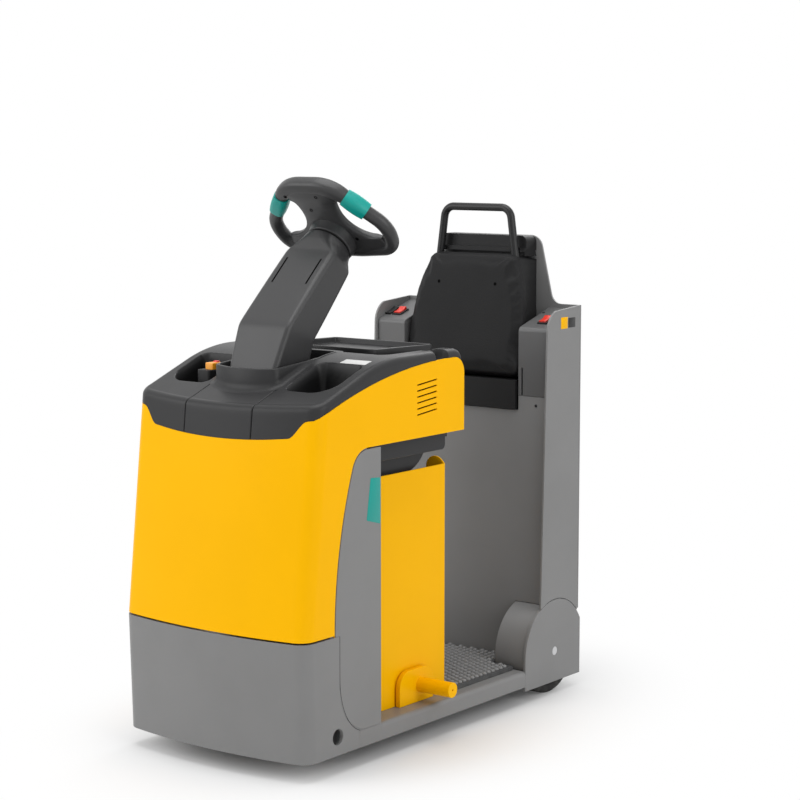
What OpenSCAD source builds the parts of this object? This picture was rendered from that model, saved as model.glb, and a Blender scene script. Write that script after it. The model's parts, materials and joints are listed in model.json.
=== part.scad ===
// Stand-on electric tow tractor with one steered drive wheel in front and two rear wheels.
// Millimetres. +X is forward, +Y is the vehicle's left, +Z is up, and the ground is z = 0.
// The origin is on the ground, midway between the front of the apron and the tow coupling.

/* [Body] */
// Width over the side plates
body_w = 600; // [590:5:610]
// Front of the apron, measured from the origin
front_x = 652; // [648:1:656]
// Radius of the bowed front, seen from above
bow_r = 1450; // [1200:50:1600]
// Radius of the two front corners, seen from above
corner_r = 42; // [38:1:46]
// Lower edge of the apron and the sills
apron_low = 48; // [44:1:52]
// Upper edge of the apron
apron_high = 345; // [340:1:348]
// Backward lean of the hood's front, in degrees
hood_lean = 6.4; // [5:0.1:7]
// Underside of the hood's overhang
overhang_z = 796; // [790:1:800]
// Rear edge of the hood's overhang
hood_rear_x = -27; // [-32:1:-22]
// Wall of the hood
hood_wall = 4; // [3:0.5:5]

/* [Platform] */
// Top of the sills
sill_top = 92; // [88:1:94]
// Width of each sill
sill_w = 66; // [60:1:68]
// Top of the rubber mat
mat_top = 99; // [97:1:101]

/* [Wheels] */
// Radius of the rear wheels
wheel_r = 122; // [118:1:124]
// Width of the rear tyres
wheel_w = 75; // [70:1:78]
// Rear axle, measured from the origin
axle_x = -468; // [-470:1:-464]
// Radius of the drive wheel
drive_r = 115; // [110:1:118]
// Width of the drive wheel
drive_w = 75; // [70:1:78]
// Steering axis of the drive wheel, measured from the origin
drive_x = 440; // [430:1:446]

/* [Steering] */
// Tilt of the steering wheel's plane from level, front edge up, in degrees
wheel_tilt = 48; // [46:0.5:50]
// Radius of the steering wheel's rim section
rim_r = 18; // [17:0.5:19]

/* [Backrest] */
// Top of the rear panel
panel_top = 1274; // [1268:1:1280]
// Radius of the grab hoop's tube
hoop_r = 11; // [10:0.5:12]

/* [Hidden] */
$fn = 64;
half_w = body_w / 2;
plate = 6;
gap = 1.5;

yellow = "#ffbf00";
grey = "#858585";
charcoal = "#454545";
black = "#2e2e2e";
rubber = "#262626";
teal = "#1fa39d";
red = "#e0402c";
orange = "#f59a0c";
steel = "#b9bbbd";

// Points along an arc, in the drawing plane
function arc(c, r, a0, a1, n = 10) =
    [for (i = [0:n]) let (a = a0 + (a1 - a0) * i / n) c + r * [cos(a), sin(a)]];

// Outline of a rectangle with round corners, centred on c
function round_rect(c, w, h, r, n = 6) = concat(
    arc(c + [w / 2 - r, h / 2 - r], r, 0, 90, n),
    arc(c + [r - w / 2, h / 2 - r], r, 90, 180, n),
    arc(c + [r - w / 2, r - h / 2], r, 180, 270, n),
    arc(c + [w / 2 - r, r - h / 2], r, 270, 360, n));

// Carries a side-view outline [x, z] across the vehicle from y0 to y1
module across(y0, y1) {
    translate([0, y1, 0]) rotate([90, 0, 0]) linear_extrude(y1 - y0) children();
}

// Carries a front-view outline [y, z] along the vehicle from x0 to x1
module along(x0, x1) {
    translate([x0, 0, 0]) rotate([90, 0, 90]) linear_extrude(x1 - x0) children();
}

// Carries a plan-view outline [x, y] up from z0 to z1
module upward(z0, z1) {
    translate([0, 0, z0]) linear_extrude(z1 - z0) children();
}

// Copies the left-hand piece to the right-hand side
module other_side() {
    mirror([0, 1, 0]) children();
}

// Keeps the left-hand piece and adds its twin on the right
module both_sides() {
    children();
    other_side() children();
}

// A round bar along Y from y0 to y1
module bar_y(x, z, r, y0, y1) {
    translate([x, y0, z]) rotate([-90, 0, 0]) cylinder(r = r, h = y1 - y0);
}

/* Plan of a bowed front: a nose arc, two tangent corner arcs and straight sides */

// Middle of the corner arc on the left, which touches the nose arc and the side
function bowed_corner(front, bow, corner, half) =
    [front - bow + sqrt(pow(bow - corner, 2) - pow(half - corner, 2)), half - corner];

// Outline from the rear on the right, round the front, to the rear on the left
function bowed(front, bow, corner, half, inset, rear_x) = let (
    c = bowed_corner(front, bow, corner, half),
    a = asin(c[1] / (bow - corner)))
    concat(
        [[rear_x, inset - half]],
        arc([c[0], -c[1]], corner - inset, -90, -a, 10),
        arc([front - bow, 0], bow - inset, -a, a, 28),
        arc(c, corner - inset, a, 90, 10),
        [[rear_x, half - inset]]);

corner_x = bowed_corner(front_x, bow_r, corner_r, half_w)[0];

function nose_plan(inset, rear_x) = bowed(front_x, bow_r, corner_r, half_w, inset, rear_x);

// The nose carried up and down a line that leans back by an angle, pivoted at the front at height z
module leaning_nose(inset, rear_x, lean, z, low, high) {
    translate([front_x, 0, z]) rotate([0, -lean, 0]) translate([-front_x, 0, low - z])
        linear_extrude(high - low) polygon(nose_plan(inset, rear_x));
}

/* Side panel curve: a long arc up from the apron, then a rounded upper corner */
curve_foot_x = 508;
curve_r = 1197;
curve_c = [curve_foot_x - curve_r, apron_high];
curve_top_r = 65;
curve_top_z = overhang_z - curve_top_r;
curve_top_x = curve_c[0] + sqrt(pow(curve_r - curve_top_r, 2) - pow(curve_top_z - curve_c[1], 2));
curve_end_a = atan2(curve_top_z - curve_c[1], curve_top_x - curve_c[0]);
panel_rear_x = 324;

function panel_curve(grow) = concat(
    arc(curve_c, curve_r + grow, 0, curve_end_a, 14),
    arc([curve_top_x, curve_top_z], curve_top_r + grow, curve_end_a, 90, 8));

/* Upper edge of the hood's sides: one long arc that levels off behind the steering column */
edge_flat_z = 988;
edge_flat_x = 20;
edge_r = 1460;
hood_corner_r = 42;

function hood_edge(drop) = concat(
    [[hood_rear_x, overhang_z]],
    arc([hood_rear_x + hood_corner_r, edge_flat_z - drop - hood_corner_r], hood_corner_r, 180, 90, 8),
    arc([edge_flat_x, edge_flat_z - drop - edge_r], edge_r, 90, 62, 16));

apron_wall = 10;
apron_lean = -1.9;
apron_rear_x = 410;
tie_hole = [496, 95];
tie_hole_r = 20;
seam_x = 488;
seam_c = [370, 208];
seam_r = seam_x - seam_c[0];
seam_end_a = -asin((seam_c[1] - sill_top) / seam_r);

// Weld seam between apron and side panel, from the apron's top edge down to the sill
seam = concat([[seam_x, apron_high]], arc(seam_c, seam_r, 0, seam_end_a, 8));

module front_apron() {
    color(grey) difference() {
        intersection() {
            leaning_nose(0, 300, apron_lean, apron_high, 0, 400);
            across(-half_w, half_w) polygon(concat(
                [[900, apron_low], [900, apron_high]], seam,
                [[apron_rear_x, sill_top], [apron_rear_x, apron_low]]));
        }
        leaning_nose(apron_wall, 200, apron_lean, apron_high, -50, 450);
        bar_y(tie_hole[0], tie_hole[1], tie_hole_r, -half_w - 20, half_w + 20);
    }
}

function backwards(points) = [for (i = [len(points) - 1:-1:0]) points[i]];

panel_t = 8;
panel_gap = 4;
lip_w = 12;

// Side panel, with a lip behind the hood's wall on which the hood rests
module side_panel() {
    color(grey) {
        across(half_w - panel_t, half_w) polygon(concat(
            [[panel_rear_x, overhang_z - panel_gap], [panel_rear_x, sill_top]],
            backwards(seam),
            panel_curve(-panel_gap)));
        across(half_w - panel_t, half_w - hood_wall) polygon(concat(
            panel_curve(lip_w),
            backwards(panel_curve(-2 * lip_w))));
    }
}

/* Front edge of the hood, seen from the front: low in the middle with an S up to each side */
dip_z = 820;
dip_r = 1810;
dip_y = 216;
rise_z = 877.5;
rise_y = 268;
// Points of the edge from the top of the S round the corner to the side
rise_tail = [[281, 879], [291.8, 885.5], [297, 892], [299.6, 897.2], [330, 1100]];

dip_a = asin(dip_y / dip_r);
dip_end_z = dip_z + dip_r * (1 - cos(dip_a));

// The S from the low middle up to the left-hand side
function dip_rise(n = 8) = [for (i = [0:n]) let (t = i / n)
    [dip_y + (rise_y - dip_y) * t, dip_end_z + (rise_z - dip_end_z) * t * t * (3 - 2 * t)]];

function dip_outline() = concat(
    [for (p = backwards(concat(dip_rise(), rise_tail))) [-p[0], p[1]]],
    arc([0, dip_z + dip_r], dip_r, 270 - dip_a + 2, 270 + dip_a - 2, 10),
    dip_rise(),
    rise_tail);

vent_n = 6;
vent_pitch = 15.2;
vent_x = [92, 175];
vent_z = 852;
vent_rise = 8;
vent_h = 4;

module hood_walls() {
    difference() {
        intersection() {
            leaning_nose(0, hood_rear_x - 40, hood_lean, apron_high, 200, 1100);
            across(-half_w, half_w) hood_side();
        }
        leaning_nose(hood_wall, hood_rear_x - 60, hood_lean, apron_high, 150, 1200);
        along(corner_x - 55, 800) polygon(dip_outline());
    }
}

module hood_shell() {
    color(yellow) difference() {
        hood_walls();
        for (i = [0:vent_n - 1])
            translate([0, 0, vent_z + i * vent_pitch]) across(-half_w - 5, half_w + 5) polygon([
                [vent_x[0], vent_rise], [vent_x[1], 0],
                [vent_x[1], vent_h], [vent_x[0], vent_rise + vent_h]]);
    }
}

module hood_side() {
    polygon(concat(
        hood_edge(0),
        [[900, 860], [900, apron_high + 5], [curve_foot_x, apron_high + 5]],
        panel_curve(0)));
}

/* Top cover: a crowned charcoal moulding in three pieces */
crest = [588, 900];
crown_r = 477;
top_flat_z = 1009;
crown_c = [215, top_flat_z - crown_r];
crown_reach = crest - crown_c;
crown_end_a = atan2(crown_reach[1], crown_reach[0]) + acos(crown_r / norm(crown_reach));
seam_y = 108;
top_round = 18;
top_low = 900;
well_gap = 8;
well_x = [0, 520];
well_end_a = acos((well_x[1] - edge_flat_x) / edge_r);

// Side outline of the crowned top, lowered by a drop: a slope from the crest, then an arc, then flat
function crown(drop) = concat(
    [[front_x - 30, dip_z - 10], crest - [0, drop]],
    arc(crown_c - [0, drop], crown_r, crown_end_a, 90, 8),
    [[hood_rear_x + 34, top_flat_z - drop], [hood_rear_x + 14, top_flat_z - 12 - drop],
     [hood_rear_x + 6, edge_flat_z - 40], [300, top_low]]);

module crowned_block() {
    hull() for (a = [0, 30, 60, 90]) {
        inset = top_round * (1 - cos(a));
        drop = top_round * (1 - sin(a));
        intersection() {
            leaning_nose(inset, hood_rear_x - 60, hood_lean, apron_high, 200, 1200);
            across(-half_w + inset, half_w - inset) polygon(crown(drop));
        }
    }
}

// All that lies below the hood's upper edge
module below_edge() {
    difference() {
        across(-half_w - 10, half_w + 10) hood_side();
        along(corner_x - 55, 800) polygon(dip_outline());
    }
}

// The crown rests on the hood's edge, and a well hangs inside the hood's walls
module top_block() {
    difference() {
        crowned_block();
        below_edge();
    }
    across(well_gap - half_w, half_w - well_gap) polygon(concat(
        [[well_x[1], top_low], [well_x[0], top_low], [well_x[0], edge_flat_z + 4]],
        arc([edge_flat_x, edge_flat_z + 4 - edge_r], edge_r, 90, well_end_a, 10)));
}

collar_x = [242, 512];
collar_y = 102;
collar_bow_r = 216;
collar_corner_r = 25;
collar_z = [1006, 983];
collar_wall = 9;
collar_floor = 925;

module collar_outline(inset) {
    polygon(bowed(collar_x[1], collar_bow_r, collar_corner_r, collar_y, inset, collar_x[0] + inset));
}

module top_cover_centre() {
    color(charcoal) difference() {
        union() {
            intersection() {
                top_block();
                translate([-300, -seam_y + gap / 2, 700]) cube([1200, 2 * seam_y - gap, 500]);
            }
            intersection() {
                upward(top_low + 5, 1100) collar_outline(0);
                across(-half_w, half_w) polygon([
                    [collar_x[0] - 1, top_low], [collar_x[1] + 1, top_low],
                    [collar_x[1] + 1, collar_z[1]], [collar_x[0] - 1, collar_z[0]]]);
            }
        }
        upward(collar_floor, 1200) collar_outline(collar_wall);
        tray_well();
    }
}

pocket_x = [345, 490];
pocket_y = [130, 262];
pocket_floor = 910;
pocket_r = [56, 20, 18, 18];

// Outline of a compartment, with its outer front corner most rounded
function pocket() = concat(
    arc([pocket_x[1] - pocket_r[0], pocket_y[1] - pocket_r[0]], pocket_r[0], 0, 90, 8),
    arc([pocket_x[0] + pocket_r[1], pocket_y[1] - pocket_r[1]], pocket_r[1], 90, 180, 6),
    arc([pocket_x[0] + pocket_r[2], pocket_y[0] + pocket_r[2]], pocket_r[2], 180, 270, 6),
    arc([pocket_x[1] - pocket_r[3], pocket_y[0] + pocket_r[3]], pocket_r[3], 270, 360, 6));

grip_x = [45, 95];
grip_y = 252;
grip_z = 984;

module top_cover_side() {
    color(charcoal) difference() {
        intersection() {
            top_block();
            translate([-300, seam_y + gap / 2, 700]) cube([1200, 400, 500]);
        }
        upward(pocket_floor, 1200) polygon(pocket());
        upward(grip_z, 1200) polygon(round_rect(
            [(grip_x[0] + grip_x[1]) / 2, grip_y + 40], grip_x[1] - grip_x[0], 80, 14));
        tray_well();
    }
}

/* Document tray: a shallow open box in a well at the rear of the top cover */
well_front_x = 236;
well_y = 246;
well_z = 986;
tray_x = [-76, 186];
tray_y = 168;
tray_floor = 993;
tray_rim_z = 1013;
tray_wall = 10;

module tray_well() {
    upward(well_z, 1200) polygon(round_rect(
        [well_front_x / 2 - 80, 0], well_front_x + 160, 2 * well_y, 24));
}

module document_tray() {
    color(charcoal) difference() {
        upward(well_z, tray_rim_z) polygon(round_rect(
            [(tray_x[0] + tray_x[1]) / 2, 0], tray_x[1] - tray_x[0], 2 * tray_y, 14));
        upward(tray_floor, 1200) polygon(round_rect(
            [(tray_x[0] + tray_x[1]) / 2, 0],
            tray_x[1] - tray_x[0] - 2 * tray_wall, 2 * (tray_y - tray_wall), 6));
    }
}

switch_at = [418, -180];

module emergency_switch() {
    translate([switch_at[0], switch_at[1], pocket_floor]) {
        color(black) upward(0, 50) polygon(round_rect([0, 0], 54, 44, 8));
        color(orange) upward(49, 71) polygon(round_rect([0, 0], 42, 28, 5));
    }
}

/* Steering column: two straight lengths with rounded corners */
column_foot = [415, 0, collar_floor];
column_bend = [367, 0, 1062];
column_neck = [203, 0, 1229];
column_lean = 45;
wheel_c = [128, 0, 1297.5];
wheel_n = [-sin(wheel_tilt), 0, cos(wheel_tilt)];
head_gap = 47;
head_r = 64;
column_head = wheel_c - head_gap * wheel_n;
shaft_r = 18;
shaft_depth = 40;

module column_slice(at, lean, depth, width, r) {
    translate(at) rotate([0, -lean, 0]) linear_extrude(0.5)
        polygon(round_rect([0, 0], depth, width, r));
}

module steering_column() {
    color(charcoal) difference() {
        union() {
            hull() {
                column_slice(column_foot, 0, 140, 148, 20);
                column_slice(column_bend, 24, 112, 172, 22);
            }
            hull() {
                column_slice(column_bend, 24, 112, 172, 22);
                column_slice(column_neck, column_lean, 92, 168, 26);
            }
            hull() {
                column_slice(column_neck, column_lean, 92, 168, 26);
                translate(column_head) rotate([0, -wheel_tilt, 0]) cylinder(r = head_r, h = 1);
            }
        }
        for (s = [-1, 1])
            translate([287, s * 56, 1212]) rotate([0, -column_lean, 0]) cube([60, 2.5, 86], center = true);
        on_wheel() translate([0, 0, -head_gap - shaft_depth - 1])
            cylinder(r = shaft_r + 0.05, h = shaft_depth + 20);
    }
}

/* Steering wheel: a closed rim of straight bars and round corners around a hub plate */
rim_path = [[72, 173], [188, 37], [172, -41], [60, -51], [-60, -51], [-172, -41], [-188, 37], [-72, 173]];
rim_corner = [60, 46, 34, 200, 200, 34, 46, 60];
switch_len = 56;

function unit(v) = v / norm(v);

// One corner of a path in a plane as [centre, radius, first angle, swept angle]
function bend(path, corner, i) = let (
    n = len(path),
    p = path[i],
    a = unit(path[(i + n - 1) % n] - p),
    b = unit(path[(i + 1) % n] - p),
    half = acos(a * b) / 2,
    c = p + unit(a + b) * corner[i] / sin(half),
    from = p + a * corner[i] / tan(half) - c)
    [c, corner[i], atan2(from[1], from[0]), 2 * half - 180];

// Rings of a tube along a path's bends, as [across, along, out of the plane]
bend_steps = 7;
tube_steps = 16;

function bend_rings(b, r) = [for (k = [0:bend_steps])
    let (t = b[2] + b[3] * k / bend_steps) [for (j = [0:tube_steps - 1])
        let (f = 360 * j / tube_steps, reach = b[1] + r * cos(f))
        [b[0][0] + reach * cos(t), b[0][1] + reach * sin(t), r * sin(f)]]];

// A tube through rings, closed in a loop or ended by its first and last ring
module tube(rings, loop) {
    n = len(rings);
    s = tube_steps;
    polyhedron(
        points = [for (ring = rings) each ring],
        faces = concat(
            [for (i = [0:loop ? n - 1 : n - 2], j = [0:s - 1]) let (i2 = (i + 1) % n, j2 = (j + 1) % s)
                [i * s + j, i2 * s + j, i2 * s + j2, i * s + j2]],
            loop ? [] : [[for (j = [0:s - 1]) j], [for (j = [s - 1:-1:0]) (n - 1) * s + j]]));
}

module on_wheel() {
    translate(wheel_c) rotate([0, -wheel_tilt, 0]) children();
}

module rim_bar(p, q, r) {
    translate([p[1], p[0], 0]) rotate([0, 90, atan2(q[0] - p[0], q[1] - p[1])])
        cylinder(r = r, h = norm(q - p));
}

/* Web between the front and the rear of the rim: wide in front, waisted, with round inner corners */
web_waist = 54;
web_r = 200;
web_corner_r = 50;
web_z = [-15, 12];
boss_r = 64;

web_side = concat(
    [[169, 84]],
    arc([38, web_waist + web_r], web_r, -62, -90, 8),
    arc([18, web_waist + web_corner_r], web_corner_r, -90, -180, 8),
    [[-51, web_waist + web_corner_r]]);

module steering_wheel() {
    color(charcoal) on_wheel() {
        mirror([1, -1, 0]) tube([for (i = [0:len(rim_path) - 1])
            each bend_rings(bend(rim_path, rim_corner, i), rim_r)], true);
        difference() {
            union() {
                upward(web_z[0], web_z[1])
                    polygon(concat(web_side, [for (p = backwards(web_side)) [p[0], -p[1]]]));
                translate([0, 0, -head_gap + 6]) cylinder(r = boss_r, h = head_gap - 10);
                translate([0, 0, -head_gap - shaft_depth]) cylinder(r = shaft_r, h = shaft_depth + 10);
            }
            upward(web_z[1] - 3, web_z[1] + 1) polygon(round_rect([45, 0], 62, 58, 10));
        }
    }
}

module thumb_switches() {
    side = unit(rim_path[1] - rim_path[0]);
    middle = (rim_path[0] + rim_path[1]) / 2 - side * 8;
    color(teal) on_wheel() for (s = [-1, 1])
        mirror([0, s < 0 ? 1 : 0, 0]) difference() {
            rim_bar(middle - side * switch_len / 2, middle + side * switch_len / 2, rim_r + 6);
            rim_bar(middle - side * switch_len, middle + side * switch_len, rim_r + 0.02);
        }
}

/* Battery space under the overhang */
cover_y = 234;
cover_rear_x = -34;
cover_top = 700;
flange_w = 60;
cover_sheet = 4;

tub_rear_x = 2;

tub_low = 745;
tub_belly = [120, 690];
belly_r = 110;

// The tub under the top cover, with a belly that curves down towards the battery
module knee_tub() {
    color(charcoal) {
        across(-262, 262) polygon(concat(
            [[318, top_low], [318, tub_low]],
            arc([tub_rear_x + 14, tub_low + 14], 14, 270, 180, 6),
            [[tub_rear_x, top_low]]));
        across(-215, 215) polygon(concat(
            arc([tub_belly[0], tub_belly[1] + belly_r], belly_r, 180, 270, 10),
            [[300, tub_belly[1]], [300, tub_low + 55]]));
    }
}

module release_tab() {
    color(charcoal) across(182, 250) polygon(concat(
        [[tub_rear_x, 774], [tub_rear_x, 788]],
        arc([tub_rear_x - 18, 782], 6, 90, 180, 5),
        [[tub_rear_x - 24, 774]]));
}

module battery_block() {
    color(charcoal) translate([4, -220, sill_top]) cube([300, 440, 560]);
}

module battery_cover() {
    color(yellow) {
        across(cover_y - cover_sheet, cover_y)
            polygon([[cover_rear_x, sill_top], [318, sill_top], [318, cover_top], [cover_rear_x, cover_top]]);
        along(cover_rear_x, cover_rear_x + cover_sheet) polygon(concat(
            [[cover_y, sill_top], [cover_y, cover_top]],
            arc([cover_y - flange_w / 2, cover_top - 12], flange_w / 2, 45, 180, 8),
            [[cover_y - flange_w, sill_top]]));
    }
}

lock_x = [40, 184];
lock_y = [238, 252];
lock_top = 182;
peg_at = [96, 137];
peg_r = 20;
peg_end_y = 356;

module battery_lock() {
    color(yellow) {
        across(lock_y[0], lock_y[1]) polygon(concat(
            [[lock_x[0], sill_top], [lock_x[1], sill_top]],
            arc([lock_x[1] - 42, lock_top - 42], 42, 0, 90, 8),
            arc([lock_x[0] + 42, lock_top - 42], 42, 90, 180, 8)));
        difference() {
            bar_y(peg_at[0], peg_at[1], peg_r, lock_y[1] - 1, peg_end_y);
            bar_y(peg_at[0], peg_at[1], 2.5, peg_end_y - 30, peg_end_y + 5);
        }
    }
}

/* Places of the rear wheels' fenders and of the rear structure */
fender_y = 193;
fender_clear = 112;
fender_r = 140;
disc_r = 147;
disc_t = 8;
disc_low = 35;
disc_rear_x = -596;
wall_x = -428;
plate_front_x = -418;
panel_x = -580;
wall_top = 838;
panel_notch_z = 224;

/* Chassis floor and sills */
sill_rear_x = axle_x + disc_r;

sill_round = 12;

// Hollow-section sill, its outer edge rounded where it is open to the step
module sill() {
    color(grey) difference() {
        translate([sill_rear_x, half_w - sill_w, apron_low])
            cube([apron_rear_x - sill_rear_x, sill_w, sill_top - apron_low]);
        along(sill_rear_x - 1, panel_rear_x) polygon(concat(
            [[half_w + 1, sill_top - sill_round], [half_w + 1, sill_top + 1]],
            [[half_w - sill_round, sill_top + 1]],
            arc([half_w - sill_round, sill_top - sill_round], sill_round, 90, 0, 6)));
    }
}

floor_x = [wall_x - plate, 306];
floor_low = apron_low + 10;
floor_half = half_w - sill_w;
floor_rim = 30;

// Folded floor plate, open below and narrowed between the fenders
module floor_plate() {
    color(grey) difference() {
        translate([floor_x[0], -floor_half, floor_low])
            cube([floor_x[1] - floor_x[0], 2 * floor_half, sill_top - floor_low]);
        translate([-296, floor_rim - floor_half, floor_low - 1])
            cube([570, 2 * (floor_half - floor_rim), sill_top - floor_low - 9]);
        both_sides() translate([floor_x[0] - 1, fender_y, floor_low - 1])
            cube([axle_x + fender_r + gap - floor_x[0], 100, sill_top - floor_low + 2]);
    }
}

mat_x = [-420, -40];
mat_half = 262;

// Rubber mat, cut out round the fenders
module platform_mat() {
    color(rubber) difference() {
        upward(sill_top, mat_top) polygon(round_rect(
            [(mat_x[0] + mat_x[1]) / 2, 0], mat_x[1] - mat_x[0], 2 * mat_half, 8));
        both_sides() translate([mat_x[0] - 10, fender_y - 4, sill_top - 1])
            cube([fender_clear, 110, 20]);
    }
}

/* Rear structure */
module rear_wall() {
    color(grey) difference() {
        translate([wall_x - plate, plate - half_w, sill_top])
            cube([plate, body_w - 2 * plate, wall_top - sill_top]);
        both_sides() {
            bar_y(axle_x, wheel_r, fender_r + gap, fender_y - gap, half_w + 1);
            bar_y(axle_x, wheel_r, disc_r + gap, half_w - disc_t - gap, half_w + 1);
        }
        translate([wall_x - 20, -197, 797]) cube([40, 394, 100]);
    }
}

// Rear panel, stepped in below for the wheels and tapered beside the backrest
module rear_panel() {
    right = concat(
        [[fender_y - gap, 60], [fender_y - gap, panel_notch_z], [half_w, panel_notch_z], [half_w, 1084]],
        arc([236, 1118], 34, 270, 190, 6),
        arc([134, panel_top - 38], 38, 12, 90, 8));
    color(grey) along(panel_x - plate, panel_x)
        polygon(concat(right, [for (p = backwards(right)) [-p[0], p[1]]]));
}

module side_plate() {
    color(grey) difference() {
        across(half_w - plate, half_w) polygon(concat(
            [[panel_x, 120], [plate_front_x, 120]],
            arc([plate_front_x - 60, 1018], 60, 0, 70, 8),
            [[panel_x, 1084]]));
        bar_y(axle_x, wheel_r, disc_r + gap, half_w - 20, half_w + 20);
    }
}

cap_front_x = -426;
cap_round = 14;
cap_front_z = 1030;
cap_rear_z = 1074;
cap_slope = atan2(cap_rear_z - cap_front_z, cap_front_x - cap_round - panel_x);

module column_cover() {
    color(grey) difference() {
        across(fender_y + 4, half_w - plate) polygon(concat(
            [[panel_x, wall_top], [cap_front_x, wall_top]],
            arc([cap_front_x - cap_round, cap_front_z - cap_round], cap_round, 0, 90 - cap_slope, 6),
            [[panel_x, cap_rear_z]]));
        translate([cap_front_x - 14, fender_y + 14, wall_top - 1]) cube([20, 5, 78]);
    }
}

// A point on the sloping cap, a distance back from its front edge and a height above its face
function on_cap(back, up) = [cap_front_x - cap_round, cap_front_z - cap_round]
    + (cap_round + up) * [sin(cap_slope), cos(cap_slope)] + back * [-cos(cap_slope), sin(cap_slope)];

module rocker_switches() {
    for (s = [-1, 1]) translate([0, s * 252, 0]) {
        color(black) across(-16, 16)
            polygon([on_cap(24, 0), on_cap(68, 0), on_cap(68, 4), on_cap(24, 4)]);
        color(red) across(-11, 11)
            polygon([on_cap(29, 4), on_cap(63, 4), on_cap(63, 12), on_cap(46, 7), on_cap(29, 8)]);
    }
    color(black) translate([0, -282, 0]) across(-9, 9)
        polygon([on_cap(24, 0), on_cap(68, 0), on_cap(68, 8), on_cap(46, 4), on_cap(24, 6)]);
}

/* Backrest: a black housing on the rear panel, a leaning pad and a grab hoop */
pad_low_z = 890;
pad_high_z = 1228;
pad_low_x = -418;
pad_high_x = -478;
pad_half_low = 191;
pad_half_high = 137;
pad_thick = 34;
pad_lean = atan2(pad_low_x - pad_high_x, pad_high_z - pad_low_z);
pad_len = norm([pad_low_x - pad_high_x, pad_high_z - pad_low_z]);
pad_side_r = 600;
pad_side_low = 90;
pad_foot_r = 30;
pad_head_r = 26;
pad_head_a = asin((pad_len - pad_head_r - pad_side_low) / (pad_side_r - pad_head_r));
pad_head_y = pad_half_low - pad_side_r + (pad_side_r - pad_head_r) * cos(pad_head_a);
hoop_x = -508;
hoop_z = [1240, 1352];
crest_front_x = -530;
crest_half = 152;

// Left-hand half of the pad's outline, drawn on its leaning face from the bottom up
function pad_half(inset) = concat(
    arc([pad_half_low - pad_foot_r, pad_foot_r], pad_foot_r - inset, -90, 0, 6),
    arc([pad_half_low - pad_side_r, pad_side_low], pad_side_r - inset, 0, pad_head_a, 8),
    arc([pad_head_y, pad_len - pad_head_r], pad_head_r - inset, pad_head_a, 90, 5));

// Carries the pad's outline along its normal, from one depth to another
module on_pad(from, to, inset) {
    translate([pad_low_x, 0, pad_low_z]) rotate([0, -pad_lean, 0]) rotate([90, 0, 90])
        upward(from, to)
            polygon(concat(pad_half(inset), [for (p = backwards(pad_half(inset))) [-p[0], p[1]]]));
}

module backrest_housing() {
    color(black) {
        intersection() {
            on_pad(-220, -pad_thick, 3);
            translate([panel_x, -half_w, 840]) cube([400, body_w, pad_high_z - 840]);
        }
        translate([panel_x, -pad_half_low, 799]) cube([pad_low_x - 3 - panel_x, 2 * pad_half_low, 81]);
        difference() {
            upward(pad_high_z - 12, hoop_z[0]) polygon(round_rect(
                [(panel_x + hoop_x + 16) / 2, 0], hoop_x + 16 - panel_x, 2 * crest_half, 10));
            translate([hoop_x - 6, -half_w, pad_high_z - 20]) cube([60, body_w, 20.5]);
        }
        along(panel_x, crest_front_x) polygon(concat(
            [[-crest_half, hoop_z[0] - 8], [crest_half, hoop_z[0] - 8]],
            arc([crest_half - 18, panel_top - 18], 18, 0, 90, 6),
            arc([18 - crest_half, panel_top - 18], 18, 90, 180, 6)));
    }
}

module backrest_pad() {
    color(black) hull() {
        on_pad(-pad_thick, -12, 0);
        on_pad(-pad_thick, -4, 4);
        on_pad(-pad_thick, 0, 11);
    }
}

// Path of the hoop, seen from the front: two legs that lean in and a level bar
hoop_path = [[-124, hoop_z[0]], [-111, hoop_z[1]], [111, hoop_z[1]], [124, hoop_z[0]]];
hoop_corner = [1, 32, 32, 1];

// A ring carried along its leg to the foot, where it is cut level
function foot_ring(ring, top, foot) = [for (p = ring)
    let (t = (foot[1] - p[1]) / (foot[1] - top[1])) [p[0] + t * (foot[0] - top[0]), foot[1], p[2]]];

module grab_hoop() {
    first = bend_rings(bend(hoop_path, hoop_corner, 1), hoop_r);
    last = bend_rings(bend(hoop_path, hoop_corner, 2), hoop_r);
    color(black) translate([hoop_x, 0, 0]) rotate([90, 0, 90]) tube(concat(
        [foot_ring(first[0], hoop_path[1], hoop_path[0])],
        first,
        last,
        [foot_ring(last[bend_steps], hoop_path[2], hoop_path[3])]), false);
}

/* Rear wheels in their fenders */
module fender() {
    color(grey) {
        difference() {
            bar_y(axle_x, wheel_r, fender_r, fender_y, half_w - disc_t);
            bar_y(axle_x, wheel_r, fender_r - 5, fender_y + 5, half_w);
            translate([-900, 0, -200]) cube([900, 400, 200 + apron_low]);
            translate([-900, 0, -200]) cube([900 + panel_x + 2, 400, 900]);
        }
        difference() {
            intersection() {
                union() {
                    bar_y(axle_x, wheel_r, disc_r, half_w - disc_t, half_w);
                    translate([axle_x - disc_r, half_w - disc_t, disc_low])
                        cube([2 * disc_r, disc_t, wheel_r - disc_low]);
                }
                translate([disc_rear_x, 0, disc_low]) cube([500, 400, 400]);
            }
            bar_y(axle_x, wheel_r, 12.05, half_w - 20, half_w + 20);
        }
    }
}

axle_r = 12;

module rear_axles() {
    color(steel) both_sides() bar_y(axle_x, wheel_r, axle_r, fender_y + 5, half_w - 1);
}

wheel_y = 248;

module rear_tyre() {
    color(rubber) bar_y_ring(axle_x, wheel_r, wheel_r, 88, wheel_y, wheel_w, 8);
}

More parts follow.
